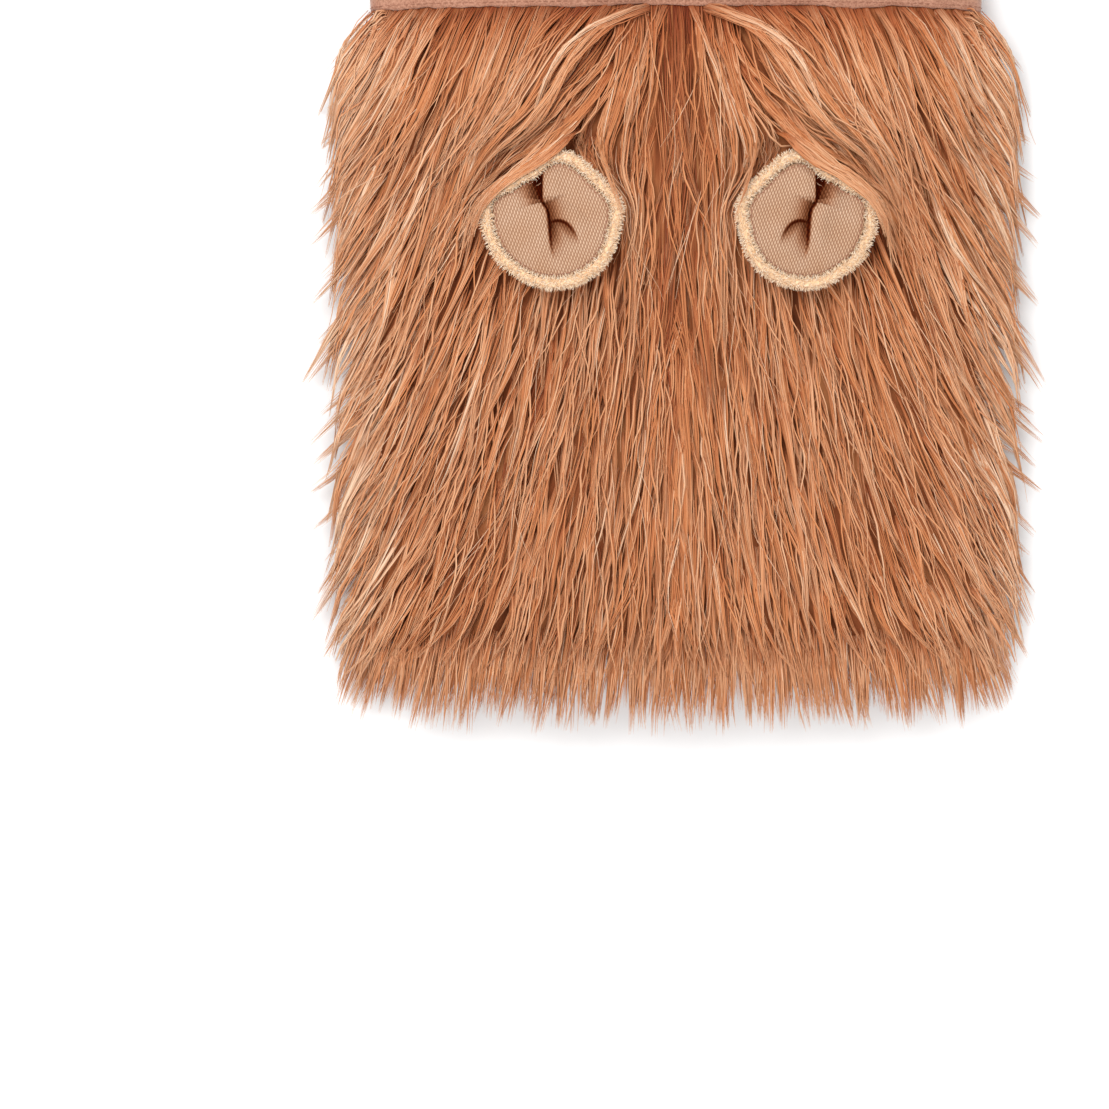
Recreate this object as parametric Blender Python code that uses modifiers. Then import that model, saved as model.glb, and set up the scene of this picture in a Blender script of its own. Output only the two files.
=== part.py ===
import math
import random

import bmesh
import bpy
from mathutils import Matrix, Vector

# Sizes are in millimetres and angles in degrees; mesh_object turns them into metres.
# The mane lies on its back: collar towards +Y, front facing up, symmetric about X = 0.
MM = 0.001
GAP = 0.4
SIDES = (-1, 1)

# Tube of ground cloth: a flattened loop with a domed front, a level back and two side folds
TUBE_STEPS = 24
CLOTH = 2.0
HALF_WIDTH = 154.0
COLLAR_Y = 176.0
HEM_Y = -147.0
BACK_DROP = 10.0
BACK_PILE = 9.0
FOLD_Z = BACK_PILE + GAP + BACK_DROP
FRONT_POWER = 2.2
BACK_POWER = 20.0

# Height of the front over the fold line along the tube: (y, rise)
FRONT_RISES = [(194.0, 20.0), (150.0, 22.0), (95.0, 26.0), (-40.0, 26.0), (-100.0, 23.5), (-196.0, 19.0)]

# Neck band: doubled cloth bound over the tube's edge
BAND_TOP = 193.5
BAND_LOW = 170.2
BAND_THICK = 5.2
BAND_RIPPLE = 0.7
BAND_RIPPLES = 9

# Pile on the front: a base layer, and locks laid over it in rows like shingles
PILE_BASE = 8.0
PILE_TOP_Y = 169.2
PILE_STATIONS = [HEM_Y + 39.0 * index for index in range(8)] + [PILE_TOP_Y]
SHOULDER_X = 140.0
APRON_SLOPE = 0.52
FRINGE_SLOPE = 0.12
LOCK_SIDES = 4
LOCK_WIDTH = 17.0
LOCK_DEPTH = 5.2
LOCK_SINK = 4.0
LOCK_LIFT = 13.0
SEED = 11

# One lock from root to tip: (share of length, share of width, share of depth)
LOCK_SHAPE = [(0.0, 0.6, 0.6), (0.3, 1.0, 1.0), (0.68, 0.85, 0.9), (0.88, 0.45, 0.5)]

# Rows of locks on the front: (root y, locks each side, x of the innermost, x of the outermost, length)
LOCK_ROWS = [
    (157.0, 5, 14.0, 106.0, 70.0),
    (118.0, 5, 0.0, 110.0, 76.0),
    (78.0, 5, 16.0, 110.0, 76.0),
    (42.0, 5, 0.0, 112.0, 78.0),
    (6.0, 5, 16.0, 112.0, 78.0),
    (-30.0, 5, 0.0, 112.0, 78.0),
    (-66.0, 5, 16.0, 112.0, 76.0),
    (-98.0, 5, 0.0, 110.0, 74.0),
    (-124.0, 5, 16.0, 110.0, 68.0),
]

# Tufts that stand off the side folds
TUFT_X = 143.0
TUFT_YS = (152.0, 112.0, 80.0, 46.0, 12.0, -22.0, -56.0, -90.0, -122.0)
TUFT_LENGTH = 50.0
TUFT_TURN = 6.0
TUFT_LIFT = 7.0

# Pile under the tube: a level pad with flat locks round its sides and hem
PAD_HALF = 158.0
PAD_EDGE_Z = 8.0
PAD_LOCK_LENGTH = 46.0
PAD_LOCK_WIDTH = 13.0
PAD_SIDE_YS = (150.0, 130.0, 98.0, 64.0, 32.0, 0.0, -32.0, -64.0, -96.0, -126.0)
PAD_HEM_XS = (13.0, 39.0, 65.0, 91.0, 117.0, 141.0)

# Ears: outline as (angle from +X, radius) about the middle of the left ear
EAR_OUTLINE = [
    (83.0, 38.5), (44.0, 34.5), (18.0, 37.0), (-9.0, 34.5), (-35.0, 34.5), (-61.0, 34.0), (-92.0, 33.0),
    (-125.0, 32.0), (-158.0, 33.5), (-185.0, 36.0), (-200.0, 38.5), (-225.0, 31.5), (-249.0, 30.5),
]
EAR_STEPS = 20
EAR_X = 63.0
EAR_Y = 58.5
EAR_Z = 64.5
EAR_PITCH = -6.0
EAR_ROLL = 4.0

# Sections of the ear from its middle outwards: (share of the outline's radius, height)
EAR_UNDER = [(0.0, -7.5), (0.4, -7.1), (0.72, -5.4), (0.93, -2.0)]
EAR_RIM = [(1.0, 1.4), (0.985, 3.6), (0.935, 4.2), (0.885, 2.9)]
EAR_FLOOR = [(0.87, -0.8), (0.55, -3.9), (0.0, -4.6)]
LINING_UNDER = [(0.0, -4.1), (0.55, -3.4), (0.84, -0.6)]
LINING_TOP = [(0.85, 1.0), (0.72, 0.9), (0.5, 0.3), (0.25, -0.3), (0.0, -0.6)]

# Folds of the knitted lining, from its upper edge down: (x, y)
CREASE = [(-6.5, 26.0), (-5.5, 15.0), (-2.0, 6.5), (-1.0, -8.0), (2.5, -17.0)]
SIDE_CREASE = [(0.5, 2.5), (6.0, 2.0), (10.5, -3.0), (14.5, -10.0)]
CREASE_WIDTH = 2.2
CREASE_DEPTH = 2.6
LEFT_LOBE = 1.6

# Root of the ear: an oval stalk down to the ground cloth
STALK_X = 2.0
STALK_Y = 24.0
STALK_RADIUS = 8.0
STALK_TOP = -5.2
STALK_LENGTH = 12.0
STALK_REACH = 24.0          # growth of the stalk's cutter in length, for each millimetre of its gap

# Colours of the cloths: name, colour, roughness
FUR = ("fur", (0.56, 0.25, 0.11, 1.0), 0.7)
BACKING = ("backing", (0.42, 0.24, 0.14, 1.0), 0.95)
BAND = ("band_fabric", (0.58, 0.32, 0.21, 1.0), 0.95)
KNIT = ("knit", (0.61, 0.40, 0.27, 1.0), 0.95)
PLUSH = ("plush", (0.80, 0.53, 0.33, 1.0), 0.85)


def clear_scene():
    for obj in list(bpy.data.objects):
        bpy.data.objects.remove(obj)


def new_collection(name):
    collection = bpy.data.collections.new(name)
    bpy.context.scene.collection.children.link(collection)
    return collection


def make_material(cloth):
    name, colour, roughness = cloth
    material = bpy.data.materials.get(name) or bpy.data.materials.new(name)
    material.use_nodes = True
    shader = material.node_tree.nodes["Principled BSDF"]
    shader.inputs["Base Color"].default_value = colour
    shader.inputs["Roughness"].default_value = roughness
    shader.inputs["Metallic"].default_value = 0.0
    return material


def face_outwards(mesh):
    bm = bmesh.new()
    bm.from_mesh(mesh)
    bmesh.ops.recalc_face_normals(bm, faces=bm.faces)
    bm.to_mesh(mesh)
    bm.free()


def mesh_object(name, points, faces, cloth, collection, closed=True):
    mesh = bpy.data.meshes.new(name)
    mesh.from_pydata([Vector(point) * MM for point in points], [], faces)
    mesh.validate()
    if closed:
        face_outwards(mesh)
    mesh.materials.append(make_material(cloth))
    mesh.shade_smooth()
    mesh.set_sharp_from_angle(angle=math.radians(40))
    obj = bpy.data.objects.new(name, mesh)
    collection.objects.link(obj)
    return obj


def make_cutter(obj):
    obj.hide_render = True
    obj.display_type = "WIRE"
    return obj


def add_boolean(obj, tool, operation):
    boolean = obj.modifiers.new(operation.lower() + "_" + tool.name, "BOOLEAN")
    boolean.operation = operation
    boolean.solver = "EXACT"
    boolean.use_self = operation == "UNION"
    boolean.object = make_cutter(tool)
    return boolean


def blend_table(table, value):
    """Value of a two-column table at a place between its rows, eased from row to row."""
    rows = sorted(table)
    if value <= rows[0][0]:
        return rows[0][1]
    for (low, start), (high, end) in zip(rows, rows[1:]):
        if value <= high:
            share = (value - low) / (high - low)
            return start + (end - start) * share * share * (3 - 2 * share)
    return rows[-1][1]


def loft(rings, open_ends=False, closed_rings=True):
    """Points and faces through rings of equal length; a ring of one point makes a pole."""
    points = []
    starts = []
    for ring in rings:
        starts.append(len(points))
        points.extend(ring)
    faces = []
    for index in range(len(rings) - 1):
        low, high = rings[index], rings[index + 1]
        a, b = starts[index], starts[index + 1]
        count = max(len(low), len(high))
        for step in range(count if closed_rings else count - 1):
            after = (step + 1) % count
            if len(low) == 1:
                faces.append((a, b + step, b + after))
            elif len(high) == 1:
                faces.append((a + after, a + step, b))
            else:
                faces.append((a + after, a + step, b + step, b + after))
    if not open_ends:
        if len(rings[0]) > 1:
            faces.append(tuple(starts[0] + step for step in range(len(rings[0]))))
        if len(rings[-1]) > 1:
            faces.append(tuple(starts[-1] + step for step in reversed(range(len(rings[-1])))))
    return points, faces


# Tube of ground cloth
def front_rise(y):
    return blend_table(FRONT_RISES, y)


def section_point(y, angle):
    """Outer face of the tube at y, as (x, height over the fold line)."""
    share = math.cos(math.radians(angle))
    x = share * HALF_WIDTH
    if math.sin(math.radians(angle)) >= -1e-9:
        return Vector((x, front_rise(y) * math.sqrt(max(0.0, 1 - abs(share) ** FRONT_POWER))))
    return Vector((x, -BACK_DROP * math.sqrt(max(0.0, 1 - abs(share) ** BACK_POWER))))


def tube_point(y, angle, grow):
    """Point of the tube's section at y, moved out square to the cloth by grow."""
    step = 360 / TUBE_STEPS
    along = section_point(y, angle + step) - section_point(y, angle - step)
    outwards = Vector((along.y, -along.x)).normalized()
    place = section_point(y, angle) + outwards * grow
    return (place.x, y, FOLD_Z + place.y)


def tube_ring(y, grow, start=0, end=360):
    step = 360 // TUBE_STEPS
    return [tube_point(y, angle, grow) for angle in range(start, end, step)]


def make_backing(collection):
    rings = [tube_ring(y, 0.0) for y in PILE_STATIONS + [COLLAR_Y]]
    points, faces = loft(rings, open_ends=True)
    backing = mesh_object("mane_backing", points, faces, BACKING, collection, closed=False)
    wall = backing.modifiers.new("wall", "SOLIDIFY")
    wall.thickness = CLOTH * MM
    wall.offset = -1
    return backing


def band_edge(index, y):
    return y + BAND_RIPPLE * math.sin(math.radians(index * 360 / TUBE_STEPS * BAND_RIPPLES))


def make_band(collection):
    """One fold of cloth: up the outside, over the mouth, down the inside, with the tube's edge between."""
    middle = BAND_THICK / 2 - CLOTH / 2
    outer = middle
    inner = middle - BAND_THICK
    slot_out = GAP
    slot_in = -CLOTH - GAP
    slot_top = COLLAR_Y + GAP
    sections = [
        (outer, BAND_LOW), (outer + 0.5, (BAND_LOW + BAND_TOP) / 2), (outer, BAND_TOP - 1.2),
        (outer - 1.4, BAND_TOP), (inner + 1.4, BAND_TOP), (inner, BAND_TOP - 1.2), (inner, BAND_LOW),
        (slot_in, BAND_LOW), (slot_in, slot_top), (slot_out, slot_top), (slot_out, BAND_LOW),
    ]
    columns = []
    for index in range(TUBE_STEPS):
        angle = index * 360 / TUBE_STEPS
        column = []
        for grow, y in sections:
            edge = band_edge(index, y) if y == BAND_LOW else y
            x, _, z = tube_point(y, angle, grow)
            column.append((x, edge, z))
        columns.append(column)
    columns.append(columns[0])
    points, faces = loft(columns, open_ends=True)
    band = mesh_object("neck_band", points, faces, BAND, collection)
    seam = band.modifiers.new("seam", "WELD")
    seam.merge_threshold = 0.00001
    return band


# Pile
def pile_top(x, y):
    """Height of the front pile's base layer, carried on past the folds and the hem."""
    share = min(abs(x), SHOULDER_X) / HALF_WIDTH
    cloth = FOLD_Z + front_rise(y) * math.sqrt(1 - share ** FRONT_POWER)
    apron = APRON_SLOPE * max(0.0, abs(x) - SHOULDER_X)
    fringe = FRINGE_SLOPE * max(0.0, HEM_Y - y)
    return cloth + PILE_BASE * (1 + 0.3 * share ** 4) - apron - fringe


def flow_angle(x, y):
    """Degrees from -Y towards the nearer side at which the pile lies."""
    share = min(1.1, abs(x) / HALF_WIDTH)
    collar = 0.75 + 0.25 * min(1.0, max(0.0, (y + 150.0) / 200.0))
    return (9.0 * share + 42.0 * share ** 3) * collar


def lock_rings(root, turn, curl, length, width, depth, height_at):
    """Rings of one lock from its root, with its tip as a single point."""
    side = -1 if root[0] < 0 else 1
    x, y = root
    rings = []
    previous = 0.0
    for share, wide, deep in LOCK_SHAPE + [(1.0, 0.0, 0.0)]:
        angle = math.radians(flow_angle(x, y) + turn + curl * share) * side
        step = (share - previous) * length
        previous = share
        x += math.sin(angle) * step
        y -= math.cos(angle) * step
        centre = Vector((x, y, height_at(x, y, share)))
        step_x, step_y = math.cos(angle), math.sin(angle)
        slope = height_at(x + step_x, y + step_y, share) - height_at(x - step_x, y - step_y, share)
        across = Vector((step_x, step_y, slope / 2))
        if wide == 0.0:
            rings.append([tuple(centre)])
            continue
        ring = []
        for index in range(LOCK_SIDES):
            around = math.radians(90 + 360 * index / LOCK_SIDES)
            rise = math.sin(around) * depth * deep
            ring.append(tuple(centre + across * math.cos(around) * width * wide + Vector((0, 0, rise))))
        rings.append(ring)
    return rings


def front_height(x, y, share):
    return pile_top(x, y) - LOCK_SINK + LOCK_LIFT * share ** 0.7


def tuft_height(x, y, share):
    return pile_top(x, y) - LOCK_SINK + TUFT_LIFT * share


def join_shapes(name, shapes, cloth, collection):
    points = []
    faces = []
    for shape_points, shape_faces in shapes:
        start = len(points)
        points.extend(shape_points)
        faces.extend(tuple(start + index for index in face) for face in shape_faces)
    return mesh_object(name, points, faces, cloth, collection)


def front_locks():
    rng = random.Random(SEED)
    shapes = []
    for row_y, count, inner_x, outer_x, length in LOCK_ROWS:
        for index in range(count):
            x = inner_x + (outer_x - inner_x) * index / (count - 1)
            y = row_y + rng.uniform(-5, 5)
            turn = rng.uniform(-7, 7)
            curl = rng.uniform(-16, 22)
            reach = length * (1 - 0.3 * (x / HALF_WIDTH) ** 3) * rng.uniform(0.9, 1.12)
            width = LOCK_WIDTH * rng.uniform(0.9, 1.12)
            for side in SIDES if x > 0 else (1,):
                rings = lock_rings((x * side, y), turn, curl, reach, width, LOCK_DEPTH, front_height)
                shapes.append(loft(rings))
    for y in TUFT_YS:
        turn = TUFT_TURN + rng.uniform(-8, 8)
        curl = rng.uniform(-12, 12)
        reach = TUFT_LENGTH * rng.uniform(0.92, 1.1)
        for side in SIDES:
            rings = lock_rings((TUFT_X * side, y), turn, curl, reach, LOCK_WIDTH, LOCK_DEPTH, tuft_height)
            shapes.append(loft(rings))
    return shapes


def make_front_pile(collection, cutters):
    rings = [tube_ring(y, GAP, 0, 181) for y in PILE_STATIONS]
    points, faces = loft(rings, open_ends=True, closed_rings=False)
    pile = mesh_object("mane_fur_front", points, faces, FUR, collection, closed=False)
    base = pile.modifiers.new("base", "SOLIDIFY")
    base.thickness = PILE_BASE * MM
    base.offset = 1
    locks = join_shapes("front_locks", front_locks(), FUR, cutters)
    add_boolean(pile, locks, "UNION")
    keep_outer_skin(pile)
    return pile


def pad_ring(y):
    """Section of the pad: level underneath, its top following the back of the tube."""
    top = tube_ring(y, GAP, 180, 361)
    edge = [(PAD_HALF, y, PAD_EDGE_Z), (PAD_HALF - 3.0, y, 0.0)]
    return top + edge + [(-x, place, z) for x, place, z in reversed(edge)]


def pad_height(x, y, share):
    return 4.9 - 1.4 * share


def pad_locks():
    rng = random.Random(SEED + 1)
    shapes = []
    roots = [(HALF_WIDTH - 10.0, y, 0.0) for y in PAD_SIDE_YS]
    roots += [(x, HEM_Y + 10.0, -6.0) for x in PAD_HEM_XS]
    for x, y, turn in roots:
        turn += rng.uniform(-8, 8)
        curl = rng.uniform(-10, 20)
        reach = PAD_LOCK_LENGTH * rng.uniform(0.9, 1.1)
        for side in SIDES:
            rings = lock_rings((x * side, y), turn, curl, reach, PAD_LOCK_WIDTH, 3.6, pad_height)
            shapes.append(loft(rings))
    return shapes


def make_back_pile(collection, cutters):
    points, faces = loft([pad_ring(y) for y in PILE_STATIONS])
    pile = mesh_object("mane_fur_back", points, faces, FUR, collection)
    locks = join_shapes("back_locks", pad_locks(), FUR, cutters)
    add_boolean(pile, locks, "UNION")
    keep_outer_skin(pile)
    return pile


# Ears
def ear_radius(angle):
    rows = sorted((row_angle % 360, radius) for row_angle, radius in EAR_OUTLINE)
    rows = [(rows[-1][0] - 360, rows[-1][1])] + rows + [(rows[0][0] + 360, rows[0][1])]
    for (low, start), (high, end) in zip(rows, rows[1:]):
        if low <= angle % 360 <= high:
            share = (angle % 360 - low) / (high - low)
            return start + (end - start) * share * share * (3 - 2 * share)
    return rows[0][1]


def ear_ring(share, height, lift=None):
    if share == 0.0:
        return [(0.0, 0.0, height + (lift(0.0, 0.0) if lift else 0.0))]
    ring = []
    for index in range(EAR_STEPS):
        angle = math.radians(360 * index / EAR_STEPS)
        radius = ear_radius(math.degrees(angle)) * share
        x, y = radius * math.cos(angle), radius * math.sin(angle)
        ring.append((x, y, height + (lift(x, y) if lift else 0.0)))
    return ring


def lining_lobe(x, y):
    """The half of the lining left of its main fold swells over the other half."""
    radius = math.hypot(x + 14.0, y - 1.0) / 17.0
    return LEFT_LOBE * max(0.0, 1 - radius * radius)


def make_crease(name, route, collection):
    """Wedge that follows a fold of the lining, narrowing towards its ends."""
    rings = []
    last = len(route) - 1
    for index, (x, y) in enumerate(route):
        before = Vector(route[max(0, index - 1)])
        after = Vector(route[min(last, index + 1)])
        along = (after - before).normalized()
        taper = 0.35 if index in (0, last) else 1.0
        half = CREASE_WIDTH / 2 * taper
        across = Vector((along.y, -along.x)) * half
        top = 6.0
        rings.append([
            (x + across.x, y + across.y, top), (x - across.x, y - across.y, top),
            (x - across.x * 0.8, y - across.y * 0.8, 0.4), (x, y, 0.9 - CREASE_DEPTH * taper),
            (x + across.x * 0.8, y + across.y * 0.8, 0.4),
        ])
    points, faces = loft(rings)
    return mesh_object(name, points, faces, KNIT, collection)


def place_ear(obj, side):
    obj.location = Vector((EAR_X * side, EAR_Y, EAR_Z)) * MM
    obj.rotation_euler = (math.radians(EAR_PITCH), math.radians(EAR_ROLL) * side, 0.0)


def apply_modifiers(obj):
    bpy.context.view_layer.update()
    evaluated = obj.evaluated_get(bpy.context.evaluated_depsgraph_get())
    mesh = bpy.data.meshes.new_from_object(evaluated)
    obj.modifiers.clear()
    obj.data = mesh


def keep_outer_skin(obj):
    """Drop the closed pockets left between overlapping locks."""
    apply_modifiers(obj)
    bm = bmesh.new()
    bm.from_mesh(obj.data)
    bodies = []
    left = set(bm.faces)
    while left:
        body = [left.pop()]
        for face in body:
            for edge in face.edges:
                for other in edge.link_faces:
                    if other in left:
                        left.remove(other)
                        body.append(other)
        bodies.append(body)
    bodies.sort(key=len)
    inner = [face for body in bodies[:-1] for face in body]
    bmesh.ops.delete(bm, geom=inner, context="FACES")
    bm.to_mesh(obj.data)
    bm.free()


def mirror_copy(obj, name, collection):
    """Copy turned left to right, with its faces still pointing out."""
    mesh = obj.data.copy()
    mesh.name = name
    mesh.transform(Matrix.Scale(-1, 4, Vector((1, 0, 0))))
    mesh.flip_normals()
    copy = bpy.data.objects.new(name, mesh)
    collection.objects.link(copy)
    return copy


def make_stalk(name, grow, collection):
    """Oval stalk of the ear, its foot just clear of the ground cloth under it."""
    bm = bmesh.new()
    upright = Matrix.Rotation(math.radians(-EAR_PITCH), 4, "X") @ Matrix.Rotation(math.radians(EAR_ROLL), 4, "Y")
    centre = Matrix.Translation(Vector((STALK_X, STALK_Y, STALK_TOP - STALK_LENGTH / 2)) * MM)
    bmesh.ops.create_cone(
        bm, cap_ends=True, segments=12, radius1=(STALK_RADIUS + grow) * MM, radius2=(STALK_RADIUS + grow) * MM,
        depth=(STALK_LENGTH + grow * STALK_REACH) * MM, matrix=centre @ upright,
    )
    mesh = bpy.data.meshes.new(name)
    bm.to_mesh(mesh)
    bm.free()
    stalk = bpy.data.objects.new(name, mesh)
    collection.objects.link(stalk)
    return stalk


def make_ear_pocket(collection):
    """Room in the pile for the ear and what lies over it."""
    under = [(share * 1.02, height - GAP) for share, height in EAR_UNDER]
    rings = [ear_ring(share, height) for share, height in under] + [ear_ring(1.02, 1.0), ear_ring(1.02, 40.0)]
    points, faces = loft(rings)
    return mesh_object("ear_pocket_left", points, faces, PLUSH, collection)


def make_ears(collection, cutters):
    under = [ear_ring(share, height) for share, height in EAR_UNDER]
    rim = [ear_ring(share, height) for share, height in EAR_RIM]
    floor = [ear_ring(share, height) for share, height in EAR_FLOOR]
    points, faces = loft(under + rim + floor)
    back = mesh_object("ear_left_back", points, faces, PLUSH, collection)
    add_boolean(back, make_stalk("ear_stalk", 0.0, cutters), "UNION")

    below = [ear_ring(share, height) for share, height in LINING_UNDER]
    above = [ear_ring(share, height, lining_lobe) for share, height in LINING_TOP]
    points, faces = loft(below + above)
    lining = mesh_object("ear_left_lining", points, faces, KNIT, collection)
    add_boolean(lining, make_crease("main_crease", CREASE, cutters), "DIFFERENCE")
    add_boolean(lining, make_crease("side_crease", SIDE_CREASE, cutters), "DIFFERENCE")

    for piece in (back, lining):
        apply_modifiers(piece)
        place_ear(mirror_copy(piece, piece.name.replace("left", "right"), collection), 1)
        place_ear(piece, -1)


def cut_ear_pockets(pile, cutters):
    left = make_ear_pocket(cutters)
    add_boolean(left, make_stalk("stalk_pocket", GAP, cutters), "UNION")
    apply_modifiers(left)
    right = mirror_copy(left, "ear_pocket_right", cutters)
    for pocket, side in ((left, -1), (right, 1)):
        place_ear(pocket, side)
        add_boolean(pile, pocket, "DIFFERENCE")


def main():
    clear_scene()
    mane = new_collection("pet_lion_mane")
    cutters = new_collection("cutters")
    make_band(mane)
    make_backing(mane)
    front = make_front_pile(mane, cutters)
    make_back_pile(mane, cutters)
    make_ears(mane, cutters)
    cut_ear_pockets(front, cutters)
    keep_outer_skin(front)


main()
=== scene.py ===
import math

import bmesh
import bpy
import numpy as np
from mathutils import Matrix, Vector
from mathutils.bvhtree import BVHTree


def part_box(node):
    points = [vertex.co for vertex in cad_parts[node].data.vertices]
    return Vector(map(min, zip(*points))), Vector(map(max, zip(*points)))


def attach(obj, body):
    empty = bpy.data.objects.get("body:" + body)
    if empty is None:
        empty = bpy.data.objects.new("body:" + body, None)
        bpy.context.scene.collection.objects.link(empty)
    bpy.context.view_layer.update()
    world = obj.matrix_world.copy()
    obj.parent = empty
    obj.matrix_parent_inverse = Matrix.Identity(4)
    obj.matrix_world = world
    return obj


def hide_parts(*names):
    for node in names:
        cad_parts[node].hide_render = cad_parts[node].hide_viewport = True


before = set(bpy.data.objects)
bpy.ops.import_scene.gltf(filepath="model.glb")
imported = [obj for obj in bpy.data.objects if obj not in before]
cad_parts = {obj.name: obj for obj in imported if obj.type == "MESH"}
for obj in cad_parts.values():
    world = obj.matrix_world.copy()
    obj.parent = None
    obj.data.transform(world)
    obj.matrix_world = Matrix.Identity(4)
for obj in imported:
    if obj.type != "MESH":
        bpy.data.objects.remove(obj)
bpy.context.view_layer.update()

# A false-fur mane for a dog, lying flat and seen from straight above.
# Lengths are millimetres in the settings and while a piece is worked out; its mesh gets metres.
mm = 0.001


def hexColour(code):
    parts = [int(code[i:i + 2], 16) / 255 for i in (1, 3, 5)]
    linear = [c / 12.92 if c <= 0.04045 else ((c + 0.055) / 1.055) ** 2.4 for c in parts]
    return (*linear, 1.0)


def addNode(tree, kind, settings=None, inputs=None, stops=None):
    # stops: places and colours of a colour ramp
    node = tree.nodes.new(kind)
    for name, value in (settings or {}).items():
        setattr(node, name, value)
    for name, value in (inputs or {}).items():
        if isinstance(value, bpy.types.NodeSocket):
            tree.links.new(value, node.inputs[name])
        else:
            node.inputs[name].default_value = value
    if stops:
        elements = node.color_ramp.elements
        for element, (place, code) in zip(elements[:2], (stops[0], stops[-1])):
            element.position, element.color = place, hexColour(code)
        for place, code in stops[1:-1]:
            elements.new(place).color = hexColour(code)
    return node


# Camera, floor and light
view = {
    "frameSide": 1109,       # pixels; the picture is square
    "mmPerPixel": 0.5,
    "midlineX": 678.0,       # pixel column over X = 0
    "baseY": 345.0,          # pixel row over Y = 0
    "lens": 100.0,
    "sensor": 36.0,
    "subjectHeight": 50.0,   # level at which the scale holds
}
studio = {
    "world": 0.85,
    "keyPower": 9.0,
    "keySize": 700.0,
    "keyPlace": (-350.0, 420.0, 1100.0),
    "fillPower": 4.0,
    "fillPlace": (150.0, -900.0, 700.0),
    "floorSize": 6000.0,
}


def makeCamera():
    width = view["frameSide"] * view["mmPerPixel"]
    half = view["frameSide"] / 2
    x = (half - view["midlineX"]) * view["mmPerPixel"]
    y = (view["baseY"] - half) * view["mmPerPixel"]
    distance = width * view["lens"] / view["sensor"]
    data = bpy.data.cameras.new("camera")
    data.lens = view["lens"]
    data.sensor_width = view["sensor"]
    camera = bpy.data.objects.new("camera", data)
    camera.location = Vector((x, y, view["subjectHeight"] + distance)) * mm
    bpy.context.scene.collection.objects.link(camera)
    bpy.context.scene.camera = camera


def makeStudio():
    scene = bpy.context.scene
    scene.view_settings.view_transform = "Standard"
    world = bpy.data.worlds.new("studio")
    scene.world = world
    world.use_nodes = True
    sky = world.node_tree.nodes["Background"]
    sky.inputs["Color"].default_value = (1.0, 1.0, 1.0, 1.0)
    sky.inputs["Strength"].default_value = studio["world"]

    for name in ("key", "fill"):
        lamp = bpy.data.lights.new(name + "Softbox", "AREA")
        lamp.energy = studio[name + "Power"]
        lamp.size = studio["keySize"] * mm
        softbox = bpy.data.objects.new(name + "Softbox", lamp)
        softbox.location = Vector(studio[name + "Place"]) * mm
        softbox.rotation_euler = (-softbox.location).to_track_quat("-Z", "Y").to_euler()
        scene.collection.objects.link(softbox)

    half = studio["floorSize"] / 2 * mm
    sheet = bpy.data.meshes.new("floor")
    sheet.from_pydata([(-half, -half, 0), (half, -half, 0), (half, half, 0), (-half, half, 0)], [], [(0, 1, 2, 3)])
    floor = bpy.data.objects.new("floor", sheet)
    floor.location.z = -0.2 * mm
    scene.collection.objects.link(floor)
    paper = bpy.data.materials.new("matte white paper")
    paper.use_nodes = True
    shader = paper.node_tree.nodes["Principled BSDF"]
    shader.inputs["Base Color"].default_value = hexColour("#f7f7f7")
    shader.inputs["Roughness"].default_value = 0.9
    sheet.materials.append(paper)


# The flattened tube of the mane, as its solid lies in the frame
backingLow, backingHigh = (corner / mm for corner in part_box("mane_backing"))
bandLow, bandHigh = (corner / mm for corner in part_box("neck_band"))
tube = {
    "halfWidth": backingHigh.x,
    "backZ": backingLow.z,
    "foldZ": backingLow.z + 10.0,
    "hemY": backingLow.y,
    "pileTopY": bandLow.y + 1.2,
    "frontPower": 2.2,
    "backPower": 20.0,
    "shoulderX": 140.0,
    "apronSlope": 0.52,
    "girth": 0.636,          # metres round it, the width of the cloth before it was sewn
    "stations": 24,          # places where its rise is read off the solid
}


def measureRises():
    # height of the cloth's front over its fold line, read along the middle of the solid
    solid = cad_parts["mane_backing"].data
    tree = BVHTree.FromPolygons([v.co for v in solid.vertices], [p.vertices for p in solid.polygons])
    places = np.linspace(tube["hemY"] + 1, backingHigh.y - 1, tube["stations"])
    hits = [tree.ray_cast(Vector((0, y * mm, 0.3)), Vector((0, 0, -1)))[0] for y in places]
    return places, np.array([hit.z / mm - tube["foldZ"] for hit in hits])


riseY, riseZ = measureRises()


def frontRise(y):
    return np.interp(y, riseY, riseZ)


def clothTop(x, y):
    # level that the pile lies on: the cloth's front, carried on past the side folds and the hem
    across = np.minimum(np.abs(x), tube["shoulderX"]) / tube["halfWidth"]
    dome = frontRise(y) * np.sqrt(1 - across ** tube["frontPower"])
    apron = tube["apronSlope"] * np.maximum(0, np.abs(x) - tube["shoulderX"])
    return tube["foldZ"] + dome - apron


def sectionPoints(count, low=0.0, high=360.0):
    # evenly spaced places round the tube from one angle to another: x, and height share over the fold line
    angle = np.radians(np.linspace(low, high, 2000))
    x = np.cos(angle)
    up = np.sqrt(np.maximum(0, 1 - np.abs(x) ** tube["frontPower"]))
    down = np.sqrt(np.maximum(0, 1 - np.abs(x) ** tube["backPower"]))
    z = np.where(np.sin(angle) >= -1e-9, up, -down)
    scaleZ = np.where(z > 0, 24.0, 10.0)
    step = np.hypot(np.diff(x * tube["halfWidth"]), np.diff(z * scaleZ))
    run = np.concatenate([[0], np.cumsum(step)])
    even = np.linspace(0, run[-1], count)
    return np.interp(even, run, x) * tube["halfWidth"], np.interp(even, run, z), run[-1]


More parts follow.
